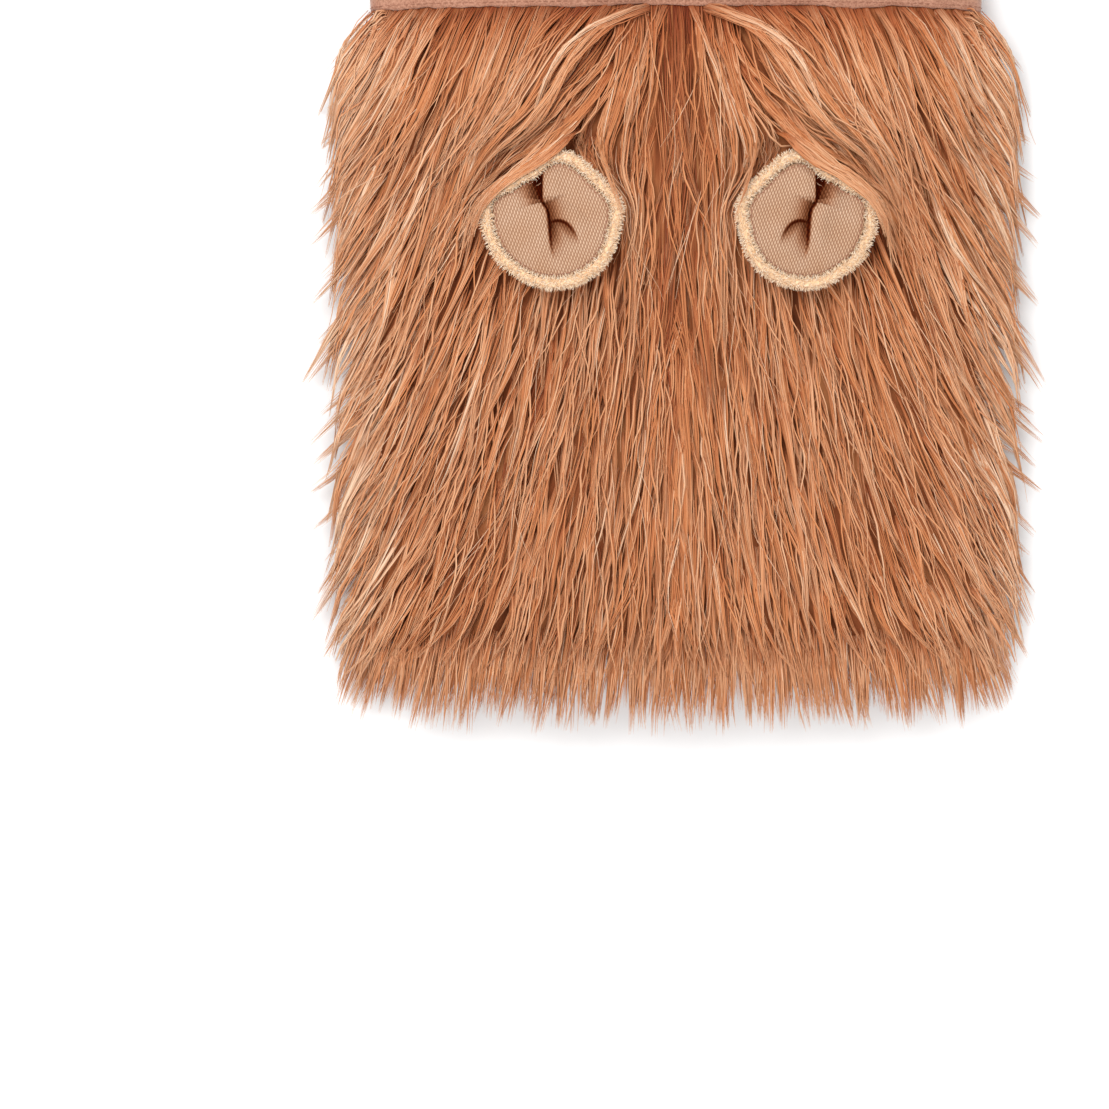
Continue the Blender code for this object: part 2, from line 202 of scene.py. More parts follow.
# Strands: paths are worked out with numpy, then one node tree gives each its round, tapering body
strandTreeSettings = {"sides": 3, "frizz": 0.3, "frizzSize": 9.0, "tip": 0.16, "root": 0.7}
floorClear = 0.4             # lowest level of anything on the mane


def clampToFloor(mesh):
    places = np.empty(len(mesh.vertices) * 3, dtype=np.float32)
    mesh.vertices.foreach_get("co", places)
    places[2::3] = np.maximum(places[2::3], floorClear * mm)
    mesh.vertices.foreach_set("co", places)
    mesh.update()


def buildStrandTree():
    tree = bpy.data.node_groups.new("strandSweep", "GeometryNodeTree")
    for name, kind in (("Paths", "NodeSocketGeometry"), ("Sides", "NodeSocketInt"), ("Frizz", "NodeSocketFloat"),
                       ("Frizz Size", "NodeSocketFloat"), ("Tip", "NodeSocketFloat"), ("Root", "NodeSocketFloat"),
                       ("Seed", "NodeSocketInt"), ("Fibre", "NodeSocketMaterial")):
        tree.interface.new_socket(name, in_out="INPUT", socket_type=kind)
    tree.interface.new_socket("Strands", in_out="OUTPUT", socket_type="NodeSocketGeometry")
    given = addNode(tree, "NodeGroupInput").outputs
    along, tone, width, around = (
        addNode(tree, "GeometryNodeInputNamedAttribute", {"data_type": "FLOAT"}, {"Name": name}).outputs["Attribute"]
        for name in ("along", "tone", "width", "around"))

    curves = addNode(tree, "GeometryNodeMeshToCurve", None, {"Mesh": given["Paths"]})
    place = addNode(tree, "GeometryNodeInputPosition")
    scaled = addNode(tree, "ShaderNodeVectorMath", {"operation": "SCALE"},
                     {"Vector": place.outputs[0], "Scale": 1000.0})
    perMm = addNode(tree, "ShaderNodeMath", {"operation": "DIVIDE"}, {0: 1.0, 1: given["Frizz Size"]})
    shifted = addNode(tree, "ShaderNodeMath", {"operation": "MULTIPLY_ADD"}, {0: given["Seed"], 1: 7.31, 2: tone})
    noise = addNode(tree, "ShaderNodeTexNoise", {"noise_dimensions": "4D"},
                    {"Vector": scaled.outputs[0], "W": shifted.outputs[0], "Scale": perMm.outputs[0], "Detail": 1.0})
    centred = addNode(tree, "ShaderNodeVectorMath", {"operation": "SUBTRACT"},
                      {0: noise.outputs["Color"], 1: (0.5, 0.5, 0.5)})
    reach = addNode(tree, "ShaderNodeMath", {"operation": "MULTIPLY"}, {0: along, 1: given["Frizz"]})
    reachM = addNode(tree, "ShaderNodeMath", {"operation": "MULTIPLY"}, {0: reach.outputs[0], 1: 0.004})
    push = addNode(tree, "ShaderNodeVectorMath", {"operation": "SCALE"},
                   {"Vector": centred.outputs[0], "Scale": reachM.outputs[0]})
    moved = addNode(tree, "GeometryNodeSetPosition", None,
                    {"Geometry": curves.outputs[0], "Offset": push.outputs[0]})

    rise = addNode(tree, "ShaderNodeMapRange", {"interpolation_type": "SMOOTHSTEP"},
                   {"Value": along, "From Min": 0.0, "From Max": 0.25, "To Min": given["Root"], "To Max": 1.0})
    fall = addNode(tree, "ShaderNodeMapRange", {"interpolation_type": "SMOOTHSTEP"},
                   {"Value": along, "From Min": 0.45, "From Max": 1.0, "To Min": 1.0, "To Max": given["Tip"]})
    taper = addNode(tree, "ShaderNodeMath", {"operation": "MULTIPLY"}, {0: rise.outputs[0], 1: fall.outputs[0]})
    radius = addNode(tree, "ShaderNodeMath", {"operation": "MULTIPLY"}, {0: taper.outputs[0], 1: width})
    half = addNode(tree, "ShaderNodeMath", {"operation": "MULTIPLY"}, {0: radius.outputs[0], 1: 0.0005})

    ring = addNode(tree, "GeometryNodeCurvePrimitiveCircle", None, {"Resolution": given["Sides"], "Radius": 1.0})
    turn = addNode(tree, "GeometryNodeSplineParameter")
    profile = addNode(tree, "GeometryNodeStoreNamedAttribute", {"data_type": "FLOAT", "domain": "POINT"},
                      {"Geometry": ring.outputs[0], "Name": "around", "Value": turn.outputs["Factor"]})
    body = addNode(tree, "GeometryNodeCurveToMesh", None,
                   {"Curve": moved.outputs[0], "Profile Curve": profile.outputs[0],
                    "Scale": half.outputs[0], "Fill Caps": True})
    across = addNode(tree, "ShaderNodeMath", {"operation": "MULTIPLY_ADD"}, {0: around, 1: 0.03, 2: 0.02})
    u = addNode(tree, "ShaderNodeMath", {"operation": "MULTIPLY_ADD"}, {0: tone, 1: 0.93, 2: across.outputs[0]})
    v = addNode(tree, "ShaderNodeMath", {"operation": "MULTIPLY_ADD"}, {0: along, 1: 0.96, 2: 0.02})
    uv = addNode(tree, "ShaderNodeCombineXYZ", None, {"X": u.outputs[0], "Y": v.outputs[0]})
    mapped = addNode(tree, "GeometryNodeStoreNamedAttribute", {"data_type": "FLOAT2", "domain": "CORNER"},
                     {"Geometry": body.outputs[0], "Name": "OFBake", "Value": uv.outputs[0]})
    smooth = addNode(tree, "GeometryNodeSetShadeSmooth", None, {"Geometry": mapped.outputs[0]})
    real = addNode(tree, "GeometryNodeRealizeInstances", None, {"Geometry": smooth.outputs[0]})
    painted = addNode(tree, "GeometryNodeSetMaterial", None,
                      {"Geometry": real.outputs[0], "Material": given["Fibre"]})
    addNode(tree, "NodeGroupOutput", None, {0: painted.outputs[0]})
    return tree


def inputIdentifiers(tree):
    return {item.name: item.identifier for item in tree.interface.items_tree if item.in_out == "INPUT"}


def pathsToMesh(name, paths, tone, width):
    # paths: strands by points by xyz, in millimetres
    count, points = paths.shape[:2]
    mesh = bpy.data.meshes.new(name)
    mesh.vertices.add(count * points)
    mesh.vertices.foreach_set("co", (paths * mm).astype(np.float32).ravel())
    first = (np.arange(count)[:, None] * points + np.arange(points - 1)[None, :]).ravel()
    mesh.edges.add(len(first))
    mesh.edges.foreach_set("vertices", np.stack([first, first + 1], axis=1).astype(np.int32).ravel())
    along = np.tile(np.linspace(0, 1, points), count)
    for label, values in (("along", along), ("tone", np.repeat(tone, points)), ("width", np.repeat(width, points))):
        mesh.attributes.new(label, "FLOAT", "POINT").data.foreach_set("value", values.astype(np.float32))
    mesh.update()
    return mesh


def sweepStrands(name, paths, tone, width, fibre, seed, changes=None):
    settings = {**strandTreeSettings, **(changes or {})}
    obj = bpy.data.objects.new(name, pathsToMesh(name, paths, tone, width))
    bpy.context.scene.collection.objects.link(obj)
    nodes = obj.modifiers.new("strands", "NODES")
    nodes.node_group = strandTree
    keys = inputIdentifiers(strandTree)
    nodes[keys["Sides"]] = settings["sides"]
    nodes[keys["Frizz"]] = settings["frizz"]
    nodes[keys["Frizz Size"]] = settings["frizzSize"]
    nodes[keys["Tip"]] = settings["tip"]
    nodes[keys["Root"]] = settings["root"]
    nodes[keys["Seed"]] = seed
    nodes[keys["Fibre"]] = fibre
    bpy.context.view_layer.update()
    swept = bpy.data.meshes.new_from_object(obj.evaluated_get(bpy.context.evaluated_depsgraph_get()))
    obj.modifiers.clear()
    obj.data = swept
    clampToFloor(swept)
    print(name, len(paths), "strands,", sum(len(p.vertices) - 2 for p in swept.polygons), "triangles")
    return obj


# Meshes worked out in rings, in millimetres
def smoothStep(value):
    value = np.clip(value, 0, 1)
    return value * value * (3 - 2 * value)


def makeMesh(name, points, faces, material):
    mesh = bpy.data.meshes.new(name)
    mesh.from_pydata([tuple(point) for point in np.asarray(points, dtype=float) * mm], [], faces)
    bm = bmesh.new()
    bm.from_mesh(mesh)
    bmesh.ops.recalc_face_normals(bm, faces=bm.faces)
    bm.to_mesh(mesh)
    bm.free()
    mesh.shade_smooth()
    mesh.materials.append(material)
    obj = bpy.data.objects.new(name, mesh)
    bpy.context.scene.collection.objects.link(obj)
    return obj


def ringFaces(rows, columns, joined=False):
    # quads between rings of points; joined: the last ring meets the first
    faces = []
    for row in range(rows if joined else rows - 1):
        low, high = row * columns, (row + 1) % rows * columns
        for column in range(columns):
            after = (column + 1) % columns
            faces.append((low + column, low + after, high + after, high + column))
    return faces


def slabCaps(rows, columns):
    # ends of a slab whose rings run along its outer face and back along its inner one
    faces = []
    for start, flip in ((0, False), ((rows - 1) * columns, True)):
        for index in range(columns // 2 - 1):
            face = (start + index, start + index + 1, start + columns - 2 - index, start + columns - 1 - index)
            faces.append(face[::-1] if flip else face)
    return faces


def poleFaces(rings, columns):
    # rings between two poles, which are the last two points
    faces = ringFaces(rings, columns)
    first, last = rings * columns, rings * columns + 1
    for column in range(columns):
        after = (column + 1) % columns
        faces.append((first, after, column))
        faces.append((last, (rings - 1) * columns + column, (rings - 1) * columns + after))
    return faces


def addMap(mesh, name, u, v):
    # UV map from one pair of values a vertex
    layer = mesh.uv_layers.new(name=name)
    corner = np.empty(len(mesh.loops), dtype=np.int32)
    mesh.loops.foreach_get("vertex_index", corner)
    pairs = np.stack([np.asarray(u)[corner], np.asarray(v)[corner]], axis=1)
    layer.data.foreach_set("uv", pairs.astype(np.float32).ravel())


def rippleNoise(x, y, seed, octaves=3):
    # smooth wandering value of about -1 to 1, from a few crossed waves with fixed phases
    rng = np.random.default_rng(seed)
    total = np.zeros_like(np.asarray(x, dtype=float) + np.asarray(y, dtype=float))
    for octave in range(octaves):
        for _ in range(4):
            angle, phase = rng.uniform(0, 2 * np.pi, 2)
            reach = rng.uniform(0.7, 1.3) * 2 ** octave
            total = total + np.sin((np.cos(angle) * x + np.sin(angle) * y) * reach + phase) / 2 ** octave
    return total / 4


# Ears: where they lie, and their outline as angles from +X and radii about the middle of the left one
ear = {
    "x": 63.0,
    "y": 58.5,
    "z": 64.5,
    "pitch": -6.0,
    "roll": 4.0,
    "outline": [
        (83.0, 38.5), (44.0, 34.5), (18.0, 37.0), (-9.0, 34.5), (-35.0, 34.5), (-61.0, 34.0), (-92.0, 33.0),
        (-125.0, 32.0), (-158.0, 33.5), (-185.0, 36.0), (-200.0, 38.5), (-225.0, 31.5), (-249.0, 30.5),
    ],
    "steps": 96,
    # sections from the middle of the underside round the rim to the middle of the floor: (share of radius, level)
    "backProfile": [
        (0.12, -7.45), (0.4, -7.1), (0.72, -5.4), (0.9, -2.0), (0.955, 1.0), (0.945, 3.0), (0.9, 3.8), (0.85, 3.2),
        (0.82, -0.9), (0.6, -3.9), (0.12, -4.6),
    ],
    "liningUnder": [(0.1, -4.1), (0.55, -3.4), (0.77, -1.2), (0.815, 0.2)],
    "liningTop": [(0.81, 0.9), (0.78, 1.5), (0.7, 1.5), (0.5, 0.9), (0.25, 0.4), (0.01, 0.2)],
    "liningSteps": 156,
    "liningRings": 50,
    "crease": [
        (-5.0, 30.0), (-5.0, 19.5), (-4.8, 11.5), (-2.6, 7.5), (-1.6, 2.0), (-1.0, -5.0), (-0.2, -12.0), (2.0, -20.0),
    ],
    "creaseTurn": 0.36,      # share of its length where the lobe that lies on top changes sides
    "sideCrease": [(-1.2, 2.2), (3.4, 2.6), (8.0, 0.3), (11.5, -4.5), (14.0, -11.5)],
    "creaseDepth": 3.4,
    "creaseMouth": 4.2,      # width of the main fold where it opens at the top
    "sideDepth": 2.2,
    "lobe": 3.2,             # height of the lobes beside the main fold
    "sideLobe": 1.6,
    "seamShare": 0.765,
    "seamTurn": (118, 448),  # the seam's row of stitches is open where the main fold runs out under the rim
    "stitchPitch": 2.8,
    "stitchWidth": 0.55,
    "pileLength": 2.5,
    "pileWidth": 0.62,
    "pileDensity": 150.0,    # hairs on a square centimetre
    "pileLean": 0.95,
}


def earRadius(angle):
    rows = sorted((a % 360, r) for a, r in ear["outline"])
    angles = np.array([rows[-1][0] - 360] + [a for a, _ in rows] + [rows[0][0] + 360])
    radii = np.array([rows[-1][1]] + [r for _, r in rows] + [rows[0][1]])
    place = np.mod(angle, 360)
    index = np.clip(np.searchsorted(angles, place, side="right") - 1, 0, len(angles) - 2)
    share = smoothStep((place - angles[index]) / (angles[index + 1] - angles[index]))
    return radii[index] + (radii[index + 1] - radii[index]) * share


def earShare(x, y):
    # 0 in the middle of the nearer ear, 1 on its outline, seen from above
    left = -np.abs(x) + ear["x"]
    down = y - ear["y"]
    angle = np.degrees(np.arctan2(down, left))
    return np.hypot(left, down) / earRadius(angle)


def earLevel(x, y):
    # height of the plane of the ear's outline
    left = -np.abs(x) + ear["x"]
    pitch, roll = math.tan(math.radians(ear["pitch"])), math.tan(math.radians(ear["roll"]))
    return ear["z"] + (y - ear["y"]) * pitch + left * roll


def smoothProfile(rows, count):
    # rows joined by a smooth curve, read at even steps of its length
    rows = np.array(rows)
    ends = np.vstack([2 * rows[0] - rows[1], rows, 2 * rows[-1] - rows[-2]])
    fine = []
    for index in range(1, len(ends) - 2):
        a, b, c, d = ends[index - 1:index + 3]
        for t in np.linspace(0, 1, 12, endpoint=False):
            square, cube = (2 * a - 5 * b + 4 * c - d) * t ** 2, (3 * b - a - 3 * c + d) * t ** 3
            fine.append(0.5 * (2 * b + (c - a) * t + square + cube))
    fine.append(rows[-1])
    fine = np.array(fine)
    scale = np.array([34.0, 1.0]) if np.abs(rows[:, 0]).max() <= 1 else np.ones(rows.shape[1])
    run = np.concatenate([[0], np.cumsum(np.linalg.norm(np.diff(fine, axis=0) * scale, axis=1))])
    even = np.linspace(0, run[-1], count)
    return np.stack([np.interp(even, run, fine[:, k]) for k in range(fine.shape[1])], axis=1)


def placeEar(points, side):
    # from the left ear's own plane to its place on the mane
    turn = Matrix.Rotation(math.radians(-ear["roll"]), 3, "Y") @ Matrix.Rotation(math.radians(ear["pitch"]), 3, "X")
    placed = np.asarray(points) @ np.array(turn).T + np.array([-ear["x"], ear["y"], ear["z"]])
    placed[:, 0] *= -side
    return placed


def creaseOffset(x, y, route):
    # sideways distance from a fold's route, and how far along it, for every place
    route = smoothProfile(route, 24)
    points = np.stack([x, y], axis=-1)[..., None, :]
    gaps = np.linalg.norm(points - route, axis=-1)
    nearest = np.argmin(gaps, axis=-1)
    along = np.gradient(route, axis=0)
    along /= np.linalg.norm(along, axis=1, keepdims=True)
    offset = np.stack([x, y], axis=-1) - route[nearest]
    signed = offset[..., 0] * -along[nearest][..., 1] + offset[..., 1] * along[nearest][..., 0]
    return signed, gaps.min(axis=-1), nearest / 23.0


def makeEarBack(name, side, cloth):
    steps = ear["steps"]
    profile = smoothProfile(ear["backProfile"], 44)
    angle = np.radians(np.arange(steps) * 360 / steps)
    radius = earRadius(np.degrees(angle))
    points = []
    for share, level in profile:
        rim = np.exp(-((share - 0.95) / 0.07) ** 2) * (level > -3)
        swell = 0.35 * rim * rippleNoise(np.cos(angle) * 9, np.sin(angle) * 9 + level, 4)
        reach = radius * share + swell
        points.append(np.stack([np.cos(angle) * reach, np.sin(angle) * reach, level + swell * 0.8], axis=1))
    rings = len(points)
    flat = np.concatenate(points + [[[0, 0, -7.5]], [[0, 0, -4.6]]])
    obj = makeMesh(name, placeEar(flat, side), poleFaces(rings, steps), cloth)
    share = np.concatenate([np.repeat(profile[:, 0], steps), [0, 0]])
    level = np.concatenate([np.repeat(profile[:, 1], steps), [-7.5, -4.6]])
    inside = (share < 0.84) & (np.arange(len(share)) > rings * steps * 0.6)
    hairy = np.where(inside, 0.0, np.where(level > -1.8, 1.0, 0.25))
    obj.data.attributes.new("hairy", "FLOAT", "POINT").data.foreach_set("value", hairy.astype(np.float32))
    return obj


def makeEarLining(name, side, cloth):
    steps = ear["liningSteps"]
    under = smoothProfile(ear["liningUnder"], 8)
    upper = smoothProfile(ear["liningTop"], ear["liningRings"])
    # steps closer together where the folds run outwards
    fine = np.arange(720) / 2
    weight = 1 + 3 * np.exp(-((fine - 99) / 12) ** 2) + np.exp(-((fine - 295) / 35) ** 2)
    angle = np.radians(np.interp((np.arange(steps) + 0.5) / steps, np.cumsum(weight) / weight.sum(), fine))
    radius = earRadius(np.degrees(angle))
    points = []
    for share, level in under:
        x, y = np.cos(angle) * radius * share, np.sin(angle) * radius * share
        points.append(np.stack([x, y, np.full(steps, level)], axis=1))
    for share, level in upper:
        x, y = np.cos(angle) * radius * share, np.sin(angle) * radius * share
        points.append(np.stack([x, y, level + liningRelief(x, y, share)], axis=1))
    middle = upper[-1, 1] + liningRelief(np.zeros(1), np.zeros(1), 0.0)[0]
    flat = np.concatenate(points + [[[0, 0, -4.1]], [[0, 0, middle]]])
    obj = makeMesh(name, placeEar(flat, side), poleFaces(len(points), steps), cloth)
    addMap(obj.data, "cloth", flat[:, 0] / 10, flat[:, 1] / 10)
    # painted shade in and beside the folds, kept to the lining's top face
    onTop = np.arange(len(flat)) >= len(under) * steps
    fold = liningShade(flat[:, 0], flat[:, 1]) * onTop
    obj.data.attributes.new("fold", "FLOAT", "POINT").data.foreach_set("value", fold.astype(np.float32))
    return obj


def foldStep(past, mouth):
    # across a fold: the lobe on top drops steeply, then the one below climbs slowly out of the fold
    beyond = np.maximum(0, past - 0.6 - mouth)
    return np.where(past < 0.6, smoothStep((past + 0.4) / 1.0), np.exp(-(beyond / 3.4) ** 1.5))


def mainFold(x, y):
    # the main fold: beside it, past the edge of whichever lobe lies on top, width of its opening, how far along
    signed, gap, along = creaseOffset(x, y, ear["crease"])
    flip = smoothStep((along - ear["creaseTurn"] + 0.04) / 0.08)
    mouth = ear["creaseMouth"] * np.clip(1.7 * (1 - along / ear["creaseTurn"]), 0, 1)
    return signed, flip, mouth, gap, along


def liningRelief(x, y, share):
    # three lobes of the knit: the upper right one lies over the left one, and that over the lower right one
    edge = smoothStep((0.8 - share) / 0.14)
    signed, flip, mouth, gap, along = mainFold(x, y)
    weight = smoothStep((1 - along) / 0.4)
    left = 0.8 * np.exp(-((signed + 9) / 5) ** 2) * (1 - flip) + np.exp(-((signed + 4.5) / 6) ** 2) * flip
    lobes = ear["lobe"] * weight * (left + 0.8 * np.exp(-((signed - 5) / 5.5) ** 2) * (1 - flip))
    step = foldStep(-signed, mouth) * (1 - flip) + foldStep(signed, 0.0) * flip
    drop = (ear["creaseDepth"] + 0.2 * mouth) * step * (gap < 14) * weight * smoothStep((0.8 - share) / 0.09)
    relief = lobes * edge - drop
    signed, gap, along = creaseOffset(x, y, ear["sideCrease"])
    weight = smoothStep((1 - along) / 0.5) * (along > 0)
    relief = relief + ear["sideLobe"] * np.exp(-((signed - 4.0) / 4) ** 2) * (gap < 9) * weight * edge
    relief = relief - ear["sideDepth"] * foldStep(-signed, 0.0) * (gap < 9) * weight
    return relief + 0.25 * rippleNoise(x / 8, y / 8, 9) * edge


def shadeBeside(past, mouth, soft):
    # painted shade: dark inside a fold, and a softer painted shadow on the lobe below
    core = np.maximum(0, np.abs(past - 0.3 - mouth / 2) - mouth / 2)
    cast = 0.56 * np.exp(-(np.maximum(0, past - mouth) / soft) ** 2) * (past > 0)
    return np.maximum(np.exp(-(core / 0.85) ** 2), cast)


def liningShade(x, y):
    # painted shade: how far the knit's colour is darkened in and beside the folds
    signed, flip, mouth, gap, along = mainFold(x, y)
    weight = smoothStep((1 - along) / 0.35) * (gap < 12)
    dark = (shadeBeside(-signed, mouth, 7.5) * (1 - flip) + shadeBeside(signed, 0.0, 6.0) * flip) * weight
    signed, gap, along = creaseOffset(x, y, ear["sideCrease"])
    weight = smoothStep((1 - along) / 0.6) * (along > 0) * (gap < 9)
    return np.clip(np.maximum(dark, 0.85 * shadeBeside(-signed, 0.0, 5.0) * weight), 0, 1)


def earSeamRow(side):
    angle = np.radians(np.linspace(*ear["seamTurn"], 90))
    radius = earRadius(np.degrees(angle)) * ear["seamShare"]
    x, y = np.cos(angle) * radius, np.sin(angle) * radius
    shares, levels = zip(*ear["liningTop"])
    level = np.interp(-ear["seamShare"], [-share for share in shares], levels)
    return placeEar(np.stack([x, y, level + 0.1 + liningRelief(x, y, ear["seamShare"])], axis=1), side)


# Ground cloth of the tube, and the doubled neck band over its edge
cloth = {
    "thick": 2.0,
    "steps": 144,
    "collarY": 176.0,
    "hemWave": 1.2,
    "bandTop": 193.2,
    "bandLow": 171.4,
    "bandInnerLow": 172.7,
    "bandThick": 1.2,
    "bandGap": 1.4,          # from the middle of the tube's cloth to the band's inner face
    "bandSteps": 216,
    "bandWave": 1.1,
    "stitchRise": 2.2,       # from the band's lower edge up to its row of stitches
    "stitchPitch": 3.4,
    "stitchWidth": 0.55,
}


def tubePoints(y, count, grow):
    # closed ring round the tube at each y given, moved square to the cloth
    x, z = (values[:-1] for values in sectionPoints(count + 1)[:2])
    y = np.broadcast_to(y, x.shape)
    level = np.where(z > 0, z * frontRise(y), z * (tube["foldZ"] - tube["backZ"]))
    alongX = np.roll(x, -1) - np.roll(x, 1)
    alongZ = np.roll(level, -1) - np.roll(level, 1)
    size = np.hypot(alongX, alongZ) + 1e-9
    return np.stack([x + alongZ / size * grow, y, tube["foldZ"] + level - alongX / size * grow], axis=1)


def makeBacking(material):
    steps = cloth["steps"]
    place = np.arange(steps) / steps * 2 * np.pi
    stations = np.linspace(0, 1, 40)
    rings = []
    for grow, order in ((0.0, stations), (-cloth["thick"], stations[::-1])):
        for share in order:
            wave = (1 - share) ** 3 * cloth["hemWave"] * rippleNoise(np.cos(place) * 3, np.sin(place) * 3, 21)
            y = tube["hemY"] + 1.0 + share * (cloth["collarY"] - tube["hemY"] - 1.0) + wave
            rings.append(tubePoints(y, steps, grow))
    obj = makeMesh("backingTube", np.concatenate(rings), ringFaces(len(rings), steps, joined=True), material)
    run = np.tile(np.arange(steps) / steps * tube["girth"], len(rings))
    addMap(obj.data, "cloth", run * 10, np.concatenate(rings)[:, 1] * 0.01)
    return obj


def makeBand(material):
    steps = cloth["bandSteps"]
    place = np.arange(steps) / steps * 2 * np.pi
    gap, thick = cloth["bandGap"], cloth["bandThick"]
    top = cloth["bandTop"] - gap - thick
    middle = -cloth["thick"] / 2
    path = [(gap, share) for share in np.linspace(0, 1, 12)]
    path += [(gap * math.cos(a), 1 + gap / 24 * math.sin(a)) for a in np.linspace(0, math.pi, 9)[1:-1]]
    path += [(-gap, share) for share in np.linspace(1, 0, 8)]
    path = np.array(path)
    turnX, turnY = np.cos(place), np.sin(place)
    wave = rippleNoise(turnX * 14, turnY * 14, 31) + 0.5 * rippleNoise(turnX * 60, turnY * 60, 32)
    wave = cloth["bandWave"] * wave
    rings = []
    for inner in (False, True):
        order = range(len(path)) if not inner else range(len(path) - 1, -1, -1)
        for index in order:
            offset, share = path[index]
            before, after = path[max(0, index - 1)], path[min(len(path) - 1, index + 1)]
            low = cloth["bandLow"] if offset > 0 else cloth["bandInnerLow"]
            heading = np.array([after[0] - before[0], (after[1] - before[1]) * 24])
            heading = heading / np.linalg.norm(heading)
            normal = np.array([heading[1], -heading[0]]) * (0.0 if inner else thick)
            y = low + (top - low) * share + wave * np.clip(1 - share, 0, 1) ** 1.5 + normal[1]
            pucker = 0.22 * rippleNoise(turnX * 45, turnY * 45 + share * 0.6, 33) * np.exp(-share * 3)
            bulge = 0.5 * math.sin(math.pi * min(1, share)) + pucker
            grow = middle + offset + normal[0] + (bulge if offset > 0 else -0.4 * bulge)
            rings.append(tubePointsVarying(y, steps, grow))
    obj = makeMesh("neckBand", np.concatenate(rings), ringFaces(len(rings), steps, joined=True), material)
    run = np.tile(np.arange(steps) / steps * tube["girth"], len(rings))
    along = np.repeat(np.concatenate([np.linspace(0, 60, len(path)), np.linspace(60, 0, len(path))]), steps)
    addMap(obj.data, "cloth", run * 10, along * 0.01)
    return obj


def tubePointsVarying(y, count, grow):
    base = tubePoints(y, count, 0.0)
    out = tubePoints(y, count, 1.0) - base
    return base + out * np.reshape(np.broadcast_to(grow, (count,)), (-1, 1))


# Stitches: short threads laid end to end along a row
def buildStitchTree():
    tree = bpy.data.node_groups.new("stitchRow", "GeometryNodeTree")
    for name, kind in (("Row", "NodeSocketGeometry"), ("Pitch", "NodeSocketFloat"), ("Width", "NodeSocketFloat"),
                       ("Thread", "NodeSocketMaterial")):
        tree.interface.new_socket(name, in_out="INPUT", socket_type=kind)
    tree.interface.new_socket("Stitches", in_out="OUTPUT", socket_type="NodeSocketGeometry")
    given = addNode(tree, "NodeGroupInput").outputs
    row = addNode(tree, "GeometryNodeMeshToCurve", None, {"Mesh": given["Row"]})
    spots = addNode(tree, "GeometryNodeCurveToPoints", {"mode": "LENGTH"},
                    {"Curve": row.outputs[0], "Length": given["Pitch"]})
    long = addNode(tree, "ShaderNodeMath", {"operation": "MULTIPLY"}, {0: given["Pitch"], 1: 0.38})
    half = addNode(tree, "ShaderNodeMath", {"operation": "MULTIPLY"}, {0: given["Width"], 1: 0.5})
    size = addNode(tree, "ShaderNodeCombineXYZ", None,
                   {"X": half.outputs[0], "Y": half.outputs[0], "Z": long.outputs[0]})
    bead = addNode(tree, "GeometryNodeMeshUVSphere", None, {"Segments": 6, "Rings": 5, "Radius": 1.0})
    turn = addNode(tree, "FunctionNodeAlignRotationToVector", {"axis": "Z"}, {"Vector": spots.outputs["Tangent"]})
    laid = addNode(tree, "GeometryNodeInstanceOnPoints", None,
                   {"Points": spots.outputs["Points"], "Instance": bead.outputs["Mesh"],
                    "Rotation": turn.outputs[0], "Scale": size.outputs[0]})
    real = addNode(tree, "GeometryNodeRealizeInstances", None, {"Geometry": laid.outputs[0]})
    smooth = addNode(tree, "GeometryNodeSetShadeSmooth", None, {"Geometry": real.outputs[0]})
    painted = addNode(tree, "GeometryNodeSetMaterial", None,
                      {"Geometry": smooth.outputs[0], "Material": given["Thread"]})
    addNode(tree, "NodeGroupOutput", None, {0: painted.outputs[0]})
    return tree


def makeStitches(name, points, thread, pitch, width, closed):
    # points in millimetres
    count = len(points)
    mesh = bpy.data.meshes.new(name)
    edges = [(i, (i + 1) % count) for i in range(count if closed else count - 1)]
    mesh.from_pydata([tuple(p) for p in np.asarray(points) * mm], edges, [])
    obj = bpy.data.objects.new(name, mesh)
    bpy.context.scene.collection.objects.link(obj)
    nodes = obj.modifiers.new("stitches", "NODES")
    nodes.node_group = stitchTree
    keys = inputIdentifiers(stitchTree)
    nodes[keys["Pitch"]] = pitch * mm
    nodes[keys["Width"]] = width * mm
    nodes[keys["Thread"]] = thread
    bpy.context.view_layer.update()
    obj.data = bpy.data.meshes.new_from_object(obj.evaluated_get(bpy.context.evaluated_depsgraph_get()))
    obj.modifiers.clear()
    return obj


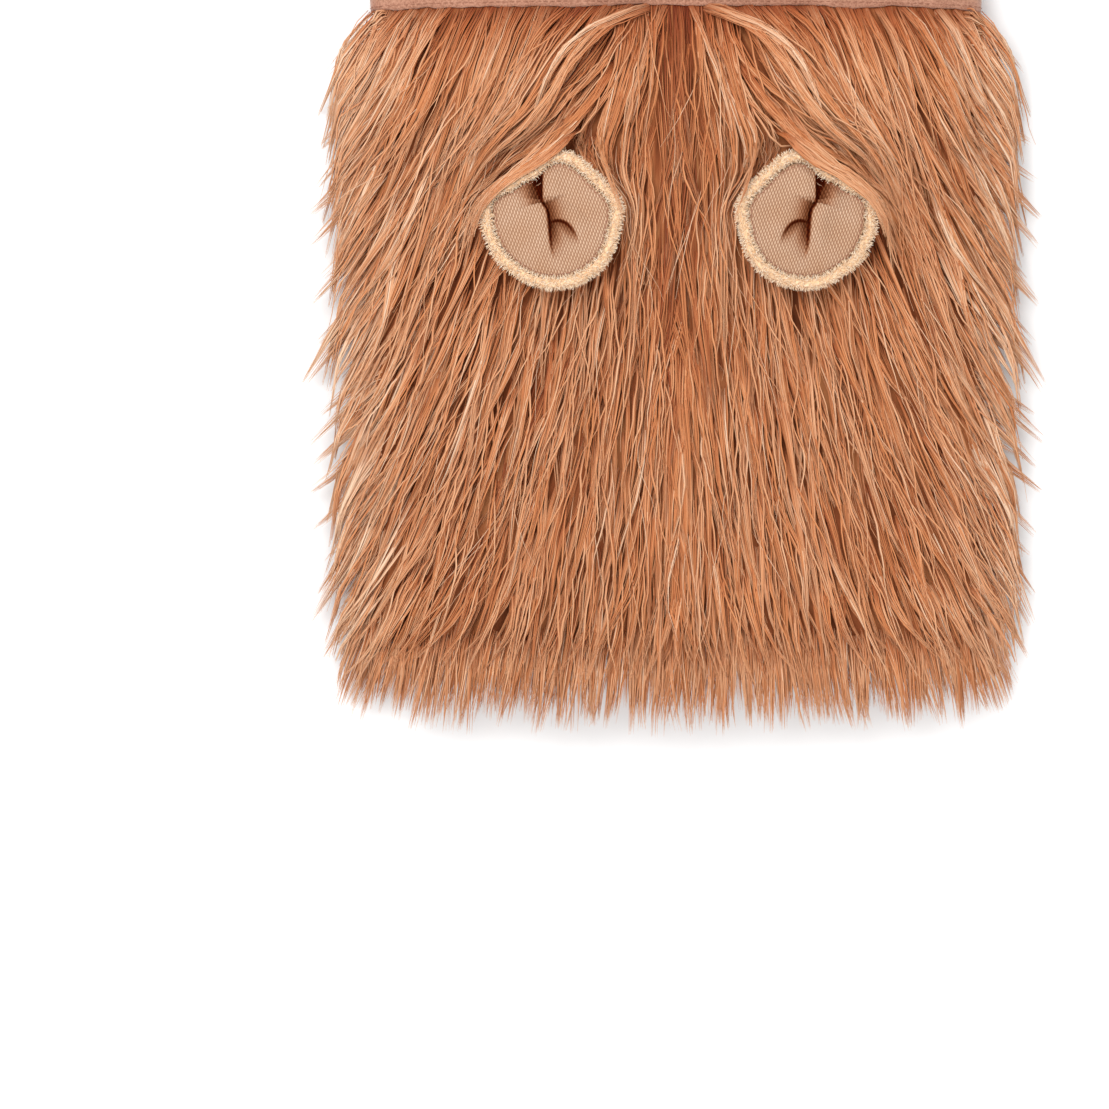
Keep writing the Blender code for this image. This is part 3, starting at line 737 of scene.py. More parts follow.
# Short pile on the ears' plush: one small hair set many times on the cloth
def buildPileTree():
    tree = bpy.data.node_groups.new("shortPile", "GeometryNodeTree")
    for name, kind in (("Cloth", "NodeSocketGeometry"), ("Count", "NodeSocketFloat"), ("Length", "NodeSocketFloat"),
                       ("Width", "NodeSocketFloat"), ("Lean", "NodeSocketFloat"), ("Seed", "NodeSocketInt"),
                       ("Fibre", "NodeSocketMaterial")):
        tree.interface.new_socket(name, in_out="INPUT", socket_type=kind)
    tree.interface.new_socket("Pile", in_out="OUTPUT", socket_type="NodeSocketGeometry")
    given = addNode(tree, "NodeGroupInput").outputs
    hairy, along, own = (
        addNode(tree, "GeometryNodeInputNamedAttribute", {"data_type": "FLOAT"}, {"Name": name}).outputs["Attribute"]
        for name in ("hairy", "along", "tone"))
    density = addNode(tree, "ShaderNodeMath", {"operation": "MULTIPLY"}, {0: given["Count"], 1: hairy})
    spots = addNode(tree, "GeometryNodeDistributePointsOnFaces", {"distribute_method": "RANDOM"},
                    {"Mesh": given["Cloth"], "Density": density.outputs[0], "Seed": given["Seed"]})
    hair = addNode(tree, "GeometryNodeMeshCone", {"fill_type": "NONE"},
                   {"Vertices": 3, "Side Segments": 1, "Radius Top": 0.15, "Radius Bottom": 0.5, "Depth": 1.0})
    height = addNode(tree, "GeometryNodeInputPosition")
    split = addNode(tree, "ShaderNodeSeparateXYZ", None, {0: height.outputs[0]})
    marked = addNode(tree, "GeometryNodeStoreNamedAttribute", {"data_type": "FLOAT", "domain": "POINT"},
                     {"Geometry": hair.outputs["Mesh"], "Name": "along", "Value": split.outputs["Z"]})
    lean = addNode(tree, "FunctionNodeRandomValue", {"data_type": "FLOAT_VECTOR"},
                   {"Min": (-1.0, -1.0, -1.0), "Max": (1.0, 1.0, 1.0), "Seed": given["Seed"]})
    leant = addNode(tree, "ShaderNodeVectorMath", {"operation": "SCALE"},
                    {"Vector": lean.outputs[0], "Scale": given["Lean"]})
    heading = addNode(tree, "ShaderNodeVectorMath", {"operation": "ADD"},
                      {0: spots.outputs["Normal"], 1: leant.outputs[0]})
    turn = addNode(tree, "FunctionNodeAlignRotationToVector", {"axis": "Z"}, {"Vector": heading.outputs[0]})
    vary = addNode(tree, "FunctionNodeRandomValue", {"data_type": "FLOAT"},
                   {2: 0.6, 3: 1.15, "Seed": given["Seed"]})
    long = addNode(tree, "ShaderNodeMath", {"operation": "MULTIPLY"}, {0: given["Length"], 1: vary.outputs[1]})
    size = addNode(tree, "ShaderNodeCombineXYZ", None,
                   {"X": given["Width"], "Y": given["Width"], "Z": long.outputs[0]})
    laid = addNode(tree, "GeometryNodeInstanceOnPoints", None,
                   {"Points": spots.outputs["Points"], "Instance": marked.outputs[0],
                    "Rotation": turn.outputs[0], "Scale": size.outputs[0]})
    tone = addNode(tree, "FunctionNodeRandomValue", {"data_type": "FLOAT"}, {2: 0.0, 3: 1.0, "Seed": 3})
    toned = addNode(tree, "GeometryNodeStoreNamedAttribute", {"data_type": "FLOAT", "domain": "INSTANCE"},
                    {"Geometry": laid.outputs[0], "Name": "tone", "Value": tone.outputs[1]})
    real = addNode(tree, "GeometryNodeRealizeInstances", None, {"Geometry": toned.outputs[0]})
    u = addNode(tree, "ShaderNodeMath", {"operation": "MULTIPLY_ADD"}, {0: own, 1: 0.96, 2: 0.02})
    v = addNode(tree, "ShaderNodeMath", {"operation": "MULTIPLY_ADD"}, {0: along, 1: 0.96, 2: 0.02})
    uv = addNode(tree, "ShaderNodeCombineXYZ", None, {"X": u.outputs[0], "Y": v.outputs[0]})
    mapped = addNode(tree, "GeometryNodeStoreNamedAttribute", {"data_type": "FLOAT2", "domain": "CORNER"},
                     {"Geometry": real.outputs[0], "Name": "OFBake", "Value": uv.outputs[0]})
    smooth = addNode(tree, "GeometryNodeSetShadeSmooth", None, {"Geometry": mapped.outputs[0]})
    painted = addNode(tree, "GeometryNodeSetMaterial", None,
                      {"Geometry": smooth.outputs[0], "Material": given["Fibre"]})
    addNode(tree, "NodeGroupOutput", None, {0: painted.outputs[0]})
    return tree


def makePile(name, clothPiece, fibre, seed):
    obj = bpy.data.objects.new(name, clothPiece.data.copy())
    bpy.context.scene.collection.objects.link(obj)
    nodes = obj.modifiers.new("pile", "NODES")
    nodes.node_group = pileTree
    keys = inputIdentifiers(pileTree)
    nodes[keys["Count"]] = ear["pileDensity"] * 10000.0
    nodes[keys["Length"]] = ear["pileLength"] * mm
    nodes[keys["Width"]] = ear["pileWidth"] * mm
    nodes[keys["Lean"]] = ear["pileLean"]
    nodes[keys["Seed"]] = seed
    nodes[keys["Fibre"]] = fibre
    bpy.context.view_layer.update()
    obj.data = bpy.data.meshes.new_from_object(obj.evaluated_get(bpy.context.evaluated_depsgraph_get()))
    obj.modifiers.clear()
    obj.data.materials.clear()
    obj.data.materials.append(fibre)
    print(name, len(obj.data.polygons), "faces")
    return obj


# Fur: long locks on the front, tufts off the side folds, softer hair at the hem and under the tube
fur = {
    "seed": 5,
    "rowPitch": 13.5,        # between locks down the mane
    "lockPitch": 6.6,        # between locks across it
    "length": 90.0,
    "tipsEndY": -167.0,      # where the long locks of the front end
    "pathPoints": 14,
    "strandPoints": 6,
    "strandsPerLock": 10,
    "rootSpread": 4.6,
    "tipSpread": 0.8,
    "strandWidth": 1.15,
    "tone": 0.45,            # 0 is the darkest fibre, 1 the palest
    "crimp": 0.5,            # side-to-side reach of the waves in the top strands
    "crimpLength": 22.0,
    "sideReach": 171.0,      # beyond this the front's locks are drawn in
    "flatFrom": 118.0,       # from this far out the pile lies flatter
    "pieces": ("Hem", "Low", "High", "Collar"),
}
# Tips of the tufts along the left side: (x, y)
tuftTips = [
    (-165, 160), (-168, 149), (-172, 137), (-178, 122), (-181, 103), (-184, 83), (-186, 66), (-184, 50),
    (-180, 36), (-185, 22),
    (-184, 3), (-192, -19), (-184, -34), (-190, -47), (-186, -60), (-189, -72), (-187, -93), (-182, -106), (-184, -126),
    (-183, -142), (-181, -158), (-175, -172), (-171, -182),
]
# Locks that sweep over and round the left ear: route from the root, spread, lift, strands, tone
sweptLocks = [
    ([(-14, 171.5), (-30, 164), (-52, 152), (-66, 132), (-73, 110), (-84, 95)], 3.4, 15.0, 40, 0.76),
    ([(-22, 171.5), (-42, 154), (-57, 136), (-65, 117), (-77, 103), (-95, 92)], 3.0, 17.0, 30, 0.6),
    ([(-34, 171.5), (-50, 146), (-63, 124), (-78, 106), (-96, 90), (-108, 68)], 3.6, 18.0, 38, 0.66),
    ([(-48, 171.5), (-62, 140), (-78, 116), (-96, 96), (-109, 74), (-115, 48)], 3.4, 15.0, 34, 0.5),
    ([(-28, 150), (-42, 124), (-57, 107), (-73, 97), (-90, 86), (-104, 72)], 2.8, 17.0, 30, 0.46),
    ([(-66, 171.5), (-76, 144), (-89, 120), (-104, 96), (-114, 70)], 3.6, 13.0, 34, 0.68),
    ([(-22, 146), (-33, 121), (-39, 101), (-34, 81), (-26, 58)], 3.0, 12.0, 26, 0.58),
    ([(-36, 134), (-50, 113), (-62, 99), (-75, 90), (-88, 82), (-100, 71), (-109, 54)], 2.6, 19.0, 30, 0.66),
    ([(-42, 130), (-56, 108), (-68, 93), (-80, 84), (-93, 75), (-103, 61), (-109, 44)], 2.4, 19.0, 26, 0.54),
    ([(-50, 126), (-62, 104), (-73, 91), (-85, 81), (-96, 71), (-103, 56), (-107, 36)], 2.2, 19.0, 24, 0.72),
    ([(-46, 113), (-55, 102), (-64, 93), (-73, 87), (-83, 81.5), (-93, 74), (-101, 62), (-104, 48)],
     2.6, 19.0, 24, 0.6),
    ([(-52, 106), (-61, 95), (-71, 87.5), (-82, 80.5), (-92, 73), (-99, 63), (-102, 52)], 2.2, 19.0, 20, 0.68),
    ([(-6, 171.5), (-14, 150), (-22, 126), (-27, 100), (-24, 76)], 3.0, 11.0, 24, 0.72),
    ([(-84, 171.5), (-92, 148), (-103, 124), (-115, 100), (-124, 74)], 3.6, 12.0, 30, 0.6),
]


def flowAngle(x, y):
    # degrees from -Y towards the nearer side
    out = np.abs(x)
    share = np.minimum(1.2, out / tube["halfWidth"])
    fan = 27 * share * (1 + 0.15 * smoothStep(y / 100))
    sweep = 26 * np.exp(-((out - 50) / 26) ** 2) * smoothStep((y - 95) / 25)
    crest = 40 * np.exp(-((out - 76) / 24) ** 2 - ((y - 105) / 13) ** 2)
    return fan + sweep + crest


def flowDirection(x, y, turn):
    # turn is towards +X; the lie itself fans out from the middle
    angle = np.radians(flowAngle(x, y) * np.clip(x / 6, -1, 1) + turn)
    return np.sin(angle), -np.cos(angle)


def steerRoundEars(x, y, dx, dy):
    # a lock that runs at an ear slides along its edge
    near = 0.5
    share = earShare(x, y)
    gx = (earShare(x + near, y) - earShare(x - near, y)) / (2 * near)
    gy = (earShare(x, y + near) - earShare(x, y - near)) / (2 * near)
    size = np.hypot(gx, gy) + 1e-9
    nx, ny = gx / size, gy / size
    into = np.minimum(0, dx * nx + dy * ny)
    weight = np.clip((1.45 - share) / 0.35, 0, 1) * (share > 0.96) * 0.85
    dx, dy = dx - into * nx * weight, dy - into * ny * weight
    size = np.hypot(dx, dy)
    return dx / size, dy / size


def underTop(x, y):
    # level of the hair pressed under the tube's edge
    return np.clip(7.5 - 0.16 * np.maximum(0, np.abs(x) - 152) - 0.1 * np.maximum(0, tube["hemY"] - y), 1.5, 8)


def lockPaths(rootX, rootY, rootZ, length, turn, curl, wave, lift, droop, level=clothTop, reach=fur["sideReach"]):
    # centre line of each lock, laid on the cloth from its root; every argument holds one value a lock
    count = len(rootX)
    steps = fur["pathPoints"]
    paths = np.zeros((count, steps, 3))
    x, y = rootX.copy(), rootY.copy()
    rootSide = np.where(rootX < 0, -1.0, 1.0)
    for step in range(steps):
        t = step / (steps - 1)
        top = level(x, y) + lift * (1 - np.exp(-t / 0.13)) + 2.0 * t - droop * t * t
        settle = smoothStep(t / 0.22 + 0.55 * (rootY > tube["pileTopY"] - 12))
        under = (earShare(x, y) < 1.03) & (np.abs(x) < 140)
        ceiling = earLevel(x, y) - 8.5 + 5.5 * np.clip(earShare(x, y), 0, 1) ** 3
        z = rootZ + (top - rootZ) * settle
        z = np.where(under, np.minimum(z, ceiling), z)
        paths[:, step] = np.stack([x, y, z], axis=1)
        swing = turn + curl * t * t + wave * np.sin(t * 6.0 + turn)
        dx, dy = flowDirection(x, y, swing * rootSide)
        dx, dy = steerRoundEars(x, y, dx, dy)
        x = x + dx * length / (steps - 1)
        y = y + dy * length / (steps - 1)
    beyond = np.maximum(0, np.abs(paths[..., 0]) - reach)
    paths[..., 0] -= np.sign(paths[..., 0]) * beyond * 0.65
    return paths


def strandsFromLocks(paths, perLock, rng, rootSpread, tipSpread, subLocks=3, shorter=0.25, points=None, thick=0.42):
    # strands that fill the locks, drawn together towards the locks' tips
    locks, steps = paths.shape[:2]
    count = locks * perLock
    lock = np.repeat(np.arange(locks), perLock)
    points = points or fur["strandPoints"]
    rootSpread = np.broadcast_to(rootSpread, (locks,))[lock][:, None]
    reach = 1 - shorter * rng.random(count) ** 1.5
    t = np.linspace(0, 1, points)[None, :] * reach[:, None]
    place = t * (steps - 1)
    low = np.clip(np.floor(place).astype(int), 0, steps - 2)
    part = (place - low)[..., None]
    base = paths[lock[:, None], low] * (1 - part) + paths[lock[:, None], low + 1] * part
    heading = paths[lock[:, None], low + 1] - paths[lock[:, None], low]
    heading /= np.linalg.norm(heading, axis=2, keepdims=True) + 1e-9
    across = np.stack([-heading[..., 1], heading[..., 0], np.zeros_like(t)], axis=2)

    subAngle = rng.random((locks, subLocks)) * 2 * np.pi
    subRadius = np.sqrt(rng.random((locks, subLocks)))
    sub = rng.integers(0, subLocks, count)
    subSide = (np.cos(subAngle) * subRadius)[lock, sub]
    subUp = (np.sin(subAngle) * subRadius)[lock, sub]
    ownAngle = rng.random(count) * 2 * np.pi
    ownRadius = np.sqrt(rng.random(count))
    side = np.cos(ownAngle) * ownRadius
    up = np.sin(ownAngle) * ownRadius
    wide = tipSpread + (rootSpread - tipSpread) * (1 - t) ** 1.6
    fine = rootSpread * 0.6 * (1 - t) ** 1.8 + 0.4
    sway = (subSide[:, None] * wide + side[:, None] * fine)[..., None]
    result = base + across * sway
    height = subUp[:, None] * wide * thick + up[:, None] * fine * 0.5
    result[..., 2] += height * np.clip(t * 4, 0, 1)
    result[..., 1] = np.minimum(result[..., 1], tube["pileTopY"] + 1.5)
    return result, lock, 0.6 * subUp + 0.4 * up


def toneOf(rng, lock, locks, up, base=fur["tone"], vary=0.13, lockVary=0.1):
    # tone differs at random by strand and by lock; painted light and shade: strands higher in their lock are made paler
    # and lower ones darker
    tone = base + vary * rng.normal(size=len(lock)) + lockVary * rng.normal(size=locks)[lock] + 0.16 * up
    return np.clip(tone, 0, 1)


def flatEdge(x):
    return np.clip((np.abs(x) - fur["flatFrom"]) / 30, 0, 1)


def frontLocks(rng):
    # jittered rows over one half of the front, the first ones closer, and a column down the middle
    arcX, arcZ, run = sectionPoints(400, 0.0, 90.0)
    columns = int(run / fur["lockPitch"])
    rows = int((tube["pileTopY"] - fur["tipsEndY"] - 40) / fur["rowPitch"])
    rowY = [tube["pileTopY"] + lift for lift in (1.4, 0.2, -4.5, -9.0)]
    rowY += [tube["pileTopY"] - row * fur["rowPitch"] for row in range(1, rows)]
    column, row = np.meshgrid(np.arange(columns), np.arange(len(rowY)))
    column, row = column.ravel(), row.ravel()
    count = len(row)
    arc = (column + 0.5 + 0.5 * (row % 2) + rng.uniform(-0.4, 0.4, count)) / (columns + 0.5)
    y = np.array(rowY)[row] + rng.uniform(-0.4, 0.4, count) * fur["rowPitch"] * (row > 3)
    x = np.interp(arc * 399, np.arange(400), arcX)
    z = tube["foldZ"] + np.interp(arc * 399, np.arange(400), arcZ) * frontRise(y)
    middleY = np.arange(tube["pileTopY"] - 2, fur["tipsEndY"] + 45, -7.0)
    middleY = np.concatenate([[tube["pileTopY"] + 1.2] * 2, middleY])
    middleX = rng.uniform(0.5, 3.5, len(middleY))
    x, y = np.concatenate([x, middleX]), np.concatenate([y, middleY])
    return x, y, np.concatenate([z, clothTop(middleX, middleY)])


def partingShare(x, y):
    # darker, flatter hair down the middle between the ears
    return np.exp(-(x / 11) ** 2) * smoothStep((y + 10) / 60)


def makeFrontFur(fibre):
    rng = np.random.default_rng(fur["seed"])
    x, y, z = frontLocks(rng)
    count = len(x)
    edge = flatEdge(x)
    angle = np.radians(flowAngle(x, y))
    room = (y - fur["tipsEndY"] + 6 * rng.normal(size=count)) / np.cos(angle)
    length = np.minimum(fur["length"] * rng.uniform(0.8, 1.12, count) * (1 - 0.2 * edge), np.maximum(room, 42))
    turn = rng.normal(0, 4, count)
    curl = rng.normal(2, 9, count) + 16 * np.clip((-60 - y) / 50, 0, 1)
    wave = rng.normal(0, 7, count)
    layer = rng.random(count)
    parting = partingShare(x, y)
    lift = 5.5 + 6.5 * layer - 2.5 * edge - 3.5 * parting
    droop = 1.0 + 4 * edge + 5 * np.clip((-60 - y) / 60, 0, 1)
    rootSpread = np.where(y > tube["pileTopY"] - 2, 2.8, fur["rootSpread"])
    made = []
    for side in (-1, 1):
        own = np.random.default_rng(fur["seed"] + 3 + side)
        paths = lockPaths(x * side, y, z, length, turn, curl, wave, lift, droop)
        strands, lock, up = strandsFromLocks(paths, fur["strandsPerLock"], own, rootSpread, fur["tipSpread"])
        outer = smoothStep((np.abs(paths[:, -1, 0]) - 150) / 20)
        # painted shade: locks that lie lower in the pile are made darker and higher ones paler; the parting's strands
        # are darker too
        tone = toneOf(own, lock, count, up) + 0.16 * (layer[lock] - 0.5) - 0.34 * parting[lock]
        tone = tone + (0.12 * edge + 0.2 * outer)[lock]
        width = fur["strandWidth"] * own.uniform(0.6, 1.2, len(strands))
        made.append((strands, np.clip(tone, 0, 1), width, y[lock]))
    strands, tone, width, rowY = (np.concatenate(part) for part in zip(*made))
    cuts = np.quantile(rowY, [0, 0.25, 0.5, 0.75, 1.0])
    cuts[-1] += 1
    pieces = []
    for index, label in enumerate(fur["pieces"]):
        chosen = (rowY >= cuts[index]) & (rowY < cuts[index + 1])
        pieces.append(sweepStrands("furFront" + label, strands[chosen], tone[chosen], width[chosen], fibre, index))
    return pieces


def joined(*lists):
    return [np.concatenate(parts) for parts in lists]


def crimped(strands, rng):
    # small side-to-side waves of permed fibre
    count, points = strands.shape[:2]
    heading = np.gradient(strands, axis=1)
    run = np.cumsum(np.linalg.norm(heading, axis=2), axis=1)
    heading /= np.linalg.norm(heading, axis=2, keepdims=True) + 1e-9
    across = np.stack([-heading[..., 1], heading[..., 0], np.zeros((count, points))], axis=2)
    size = fur["crimp"] * rng.uniform(0.4, 1.3, (count, 1)) * np.clip(run / 12, 0, 1)
    phase = run * 2 * np.pi / (fur["crimpLength"] * rng.uniform(0.75, 1.35, (count, 1)))
    phase = phase + rng.uniform(0, 6.28, (count, 1))
    waved = strands + across * (size * np.sin(phase))[..., None]
    waved[..., 2] += size * 0.5 * np.cos(phase)
    return waved


# Crimped strands on top of the locks; the count is for each side. Their paler tone is painted highlight on the locks'
# tops.
ridge = {"count": 370, "length": (60, 96), "lift": (11.5, 14.5), "points": 14, "width": (0.8, 1.4), "tone": 0.68}


def makeRidges(fibre):
    strands, tones, widths = [], [], []
    for side in (-1, 1):
        rng = np.random.default_rng(fur["seed"] + 20 + side)
        count = ridge["count"]
        x = rng.uniform(2, 150, count)
        y = np.minimum(rng.uniform(-105, 190, count), tube["pileTopY"] - rng.uniform(0, 3, count))
        edge = flatEdge(x)
        length = rng.uniform(*ridge["length"], count)
        length = np.minimum(length, (y - fur["tipsEndY"]) * 1.03 + rng.uniform(0, 12, count))
        parting = partingShare(x, y)
        turn, curl, wave = rng.normal(0, 5, count), rng.normal(3, 12, count), rng.normal(0, 8, count)
        lift = rng.uniform(*ridge["lift"], count) - 3 * edge - 4 * parting
        paths = lockPaths(x * side, y, clothTop(x, y), length, turn, curl, wave, lift, 1.0 + 4 * edge)
        made = strandsFromLocks(paths, 1, rng, 1.0, 1.0, points=ridge["points"], shorter=0.1)[0]
        strands.append(crimped(made, rng))
        tones.append(np.clip(rng.normal(ridge["tone"], 0.1, count) - 0.3 * parting, 0, 1))
        widths.append(rng.uniform(*ridge["width"], count))
    return sweepStrands("furRidges", *joined(strands, tones, widths), fibre, 7, {"frizz": 0.1})


def routePaths(route, side, lift):
    # a swept lock: laid over the pile, and over the ear where it crosses it
    points = smoothProfile(route, fur["pathPoints"])
    x, y = points[:, 0] * -side, points[:, 1]
    t = np.linspace(0, 1, len(x))
    z = clothTop(x, y) + 0.6 + lift * (1 - np.exp(-t / 0.16)) - 2 * t * t
    over = smoothStep((1.3 - earShare(x, y)) / 0.2)
    z = np.maximum(z, z * (1 - over) + (earLevel(x, y) + 6.5) * over)
    return np.stack([x, y, z], axis=1)


def makeSweptFur(fibre):
    strands, tones, widths = [], [], []
    for side in (-1, 1):
        rng = np.random.default_rng(fur["seed"] + 40 + side)
        for route, spread, lift, count, tone in sweptLocks:
            path = routePaths(route, side, lift)[None]
            made, lock, up = strandsFromLocks(path, count, rng, spread, 0.9, subLocks=4, shorter=0.35, points=12)
            strands.append(crimped(made, rng))
            tones.append(toneOf(rng, lock, 1, up, base=tone, vary=0.1, lockVary=0))
            widths.append(rng.uniform(0.5, 1.1, count))
    return sweepStrands("furSwept", *joined(strands, tones, widths), fibre, 9)


# Side tufts: wedges of hair whose tips stand off the sides, and shorter hair between them
tuft = {
    "length": (48, 60),
    "strands": 44,
    "spread": 8.0,
    "fills": 46,             # short locks between the wedges, and how they are spaced
    "fillPitch": 6.7,
    "fillLength": (26, 44),
    "fillStrands": 16,
    "fillSpread": 6.0,
    "lift": 5.0,
    "reach": 190.0,
    "width": (0.45, 0.85),
    "tone": 0.74,
}


def makeTufts(fibre):
    rng = np.random.default_rng(fur["seed"] + 60)
    tips = np.array(tuftTips, dtype=float)
    count, fills = len(tips), tuft["fills"]
    turn = np.where(tips[:, 1] > -120, rng.uniform(10, 26, count), rng.uniform(-8, 6, count))
    nearTop = smoothStep((tips[:, 1] - 105) / 45)
    turn = turn + 34 * nearTop
    length = rng.uniform(*tuft["length"], count) * (1 - 0.55 * nearTop)
    heading = np.radians(27 * 1.1 + turn)
    rootX = tips[:, 0] + np.sin(heading) * length
    rootY = tips[:, 1] + np.cos(heading) * length
    fillY = 167 - np.arange(fills) * tuft["fillPitch"] + rng.uniform(-2, 2, fills)
    fillX = -rng.uniform(140, 152, fills)
    x = np.concatenate([rootX, fillX])
    y = np.minimum(np.concatenate([rootY, fillY]), tube["pileTopY"] - 0.5)
    size = np.concatenate([length, rng.uniform(*tuft["fillLength"], fills)])
    turn = np.concatenate([turn, rng.normal(6, 9, fills) - 14 * smoothStep((-90 - fillY) / 30)])
    perLock = [tuft["strands"]] * count + [tuft["fillStrands"]] * fills
    spread = [tuft["spread"]] * count + [tuft["fillSpread"]] * fills
    lift = np.full(len(x), tuft["lift"])
    z = clothTop(x, y) - 2
    strands, tones, widths = [], [], []
    for side in (-1, 1):
        own = np.random.default_rng(fur["seed"] + 62 + side)
        curl, wave = own.normal(0, 6, len(x)), own.normal(0, 5, len(x))
        paths = lockPaths(x * -side, y, z, size, turn, curl, wave, lift, lift, reach=tuft["reach"])
        for index in range(len(x)):
            made, lock, up = strandsFromLocks(paths[index:index + 1], perLock[index], own, spread[index], 2.6,
                                              subLocks=6, shorter=0.5, points=5)
            strands.append(made)
            tones.append(toneOf(own, lock, 1, up, base=tuft["tone"], vary=0.1, lockVary=0.04))
            widths.append(own.uniform(*tuft["width"], len(made)))
    return sweepStrands("furTufts", *joined(strands, tones, widths), fibre, 11, {"tip": 0.1})


# Fringe: fine straight hair off the front's hem
fringe = {
    "count": 220, "halfWidth": 156, "length": 50, "strands": 16, "drop": 11.0,
    "width": (0.45, 0.85), "tone": 0.58,
}


def makeFringe(fibre):
    rng = np.random.default_rng(fur["seed"] + 80)
    count, half = fringe["count"], fringe["halfWidth"]
    x = np.linspace(-half, half, count) + rng.uniform(-2, 2, count)
    y = np.full(count, tube["hemY"] + 3.0) + rng.uniform(0, 10, count)
    z = clothTop(x, y) - 3 * smoothStep((np.abs(x) - 140) / 15)
    clump = rippleNoise(x / 7, 0 * x, 81)
    share = np.abs(x) / half
    length = fringe["length"] + 3.0 * clump + rng.uniform(-3, 4, count) - 5 * share ** 6
    turn = -13 * share + 8 * smoothStep((share - 0.9) / 0.1) + rng.normal(0, 4, count)
    curl, wave = rng.normal(0, 5, count), rng.normal(0, 4, count)
    paths = lockPaths(x, y, z, length, turn, curl, wave, np.full(count, 4.0), np.full(count, fringe["drop"]))
    strands, lock, up = strandsFromLocks(paths, fringe["strands"], rng, 4.2, 3.8,
                                         subLocks=5, shorter=0.14, points=5, thick=0.7)
    tone = toneOf(rng, lock, count, up, base=fringe["tone"], vary=0.12, lockVary=0.06)
    width = rng.uniform(*fringe["width"], len(strands))
    return sweepStrands("furFringe", strands, tone, width, fibre, 13, {"tip": 0.08})


# Hair of the back, lying on the floor past the side folds, the hem and the collar; how many locks along each
underHair = {"side": 60, "hem": 110, "collar": 90, "strands": 8, "width": (0.55, 0.95), "tone": 0.72}


def makeUnderFur(fibre):
    rng = np.random.default_rng(fur["seed"] + 90)
    sides, hems, collars = 2 * underHair["side"], underHair["hem"], underHair["collar"]
    sideY = np.concatenate([np.linspace(166, -140, underHair["side"])] * 2) + rng.uniform(-3, 3, sides)
    sideX = np.repeat([-146.0, 146.0], underHair["side"]) + rng.uniform(-4, 4, sides)
    hemX = np.linspace(-146, 146, hems) + rng.uniform(-2, 2, hems)
    hemY = np.full(hems, tube["hemY"] + 6.0) + rng.uniform(-3, 5, hems)
    collarX = np.linspace(-150, 150, collars) + rng.uniform(-1.5, 1.5, collars)
    collarY = np.full(collars, tube["pileTopY"] - 0.5) - rng.uniform(0, 3, collars)
    x, y = np.concatenate([sideX, hemX, collarX]), np.concatenate([sideY, hemY, collarY])
    count = len(x)
    hem = (np.arange(count) >= sides) & (np.arange(count) < sides + hems)
    length = np.where(hem, rng.uniform(38, 48, count), rng.uniform(26, 40, count))
    turn = np.where(hem, rng.normal(-8, 4, count) * np.abs(x) / 150, rng.normal(14, 10, count))
    curl, wave = rng.normal(0, 6, count), rng.normal(0, 5, count)
    lift = rng.uniform(-3.5, 1.5, count)
    paths = lockPaths(x, y, underTop(x, y), length, turn, curl, wave, lift, np.full(count, 1.5), underTop)
    strands, lock, up = strandsFromLocks(paths, underHair["strands"], rng, 5.0, 2.2,
                                         shorter=0.4, points=4, thick=0.45)
    strands[..., 2] = np.maximum(strands[..., 2], 1.0)
    atCollar = lock >= sides + hems
    strands[atCollar, 0, 2] = np.minimum(strands[atCollar, 0, 2] + 1.5, tube["backZ"] - 0.6)
    tone = toneOf(rng, lock, count, up, base=underHair["tone"], vary=0.12, lockVary=0.06)
    width = rng.uniform(*underHair["width"], len(strands))
    return sweepStrands("furUnder", strands, tone, width, fibre, 15, {"tip": 0.08})


# Single long hairs that have left their locks
wisp = {"count": 150, "length": (45, 80), "lift": (12, 15), "width": (0.32, 0.5), "tone": 0.93}


def makeWisps(fibre):
    rng = np.random.default_rng(fur["seed"] + 100)
    count = wisp["count"]
    x = rng.uniform(-140, 140, count)
    y = rng.uniform(-90, 160, count)
    length = np.minimum(rng.uniform(*wisp["length"], count), y - tube["hemY"] + 22)
    turn, curl, wave = rng.normal(0, 9, count), rng.normal(0, 16, count), rng.normal(0, 10, count)
    lift = rng.uniform(*wisp["lift"], count)
    paths = lockPaths(x, y, clothTop(x, y) + 3, length, turn, curl, wave, lift, np.full(count, 1.0))
    strands = strandsFromLocks(paths, 1, rng, 1.0, 1.0, points=10)[0]
    width = rng.uniform(*wisp["width"], count)
    return sweepStrands("furWisps", strands, np.full(count, wisp["tone"]), width, fibre, 17, {"tip": 0.3})


# Dense short undercoat below the long hair, and the pad of pile under the tube
undercoat = {
    "front": 5.5,            # thickness
    "columns": 100,
    "rows": 90,
    "collarFade": 36.0,      # it thins out this far from the collar
    "padHalf": 157.0,
    "padColumns": 60,
    "padRows": 50,
    "padLift": 6.5,          # how far its underside rises at the collar
}


def traceFlow(x, y):
    # where a hair through this place started at the collar, and how far back that is
    x, y = x.astype(float).copy(), y.astype(float).copy()
    run = np.zeros_like(x)
    for _ in range(170):
        dx, dy = flowDirection(x, y, 0.0)
        step = np.clip((tube["pileTopY"] + 1 - y) / np.maximum(-dy, 0.2), 0, 2.5)
        x, y, run = x - dx * step, y - dy * step, run + step
    return x, run


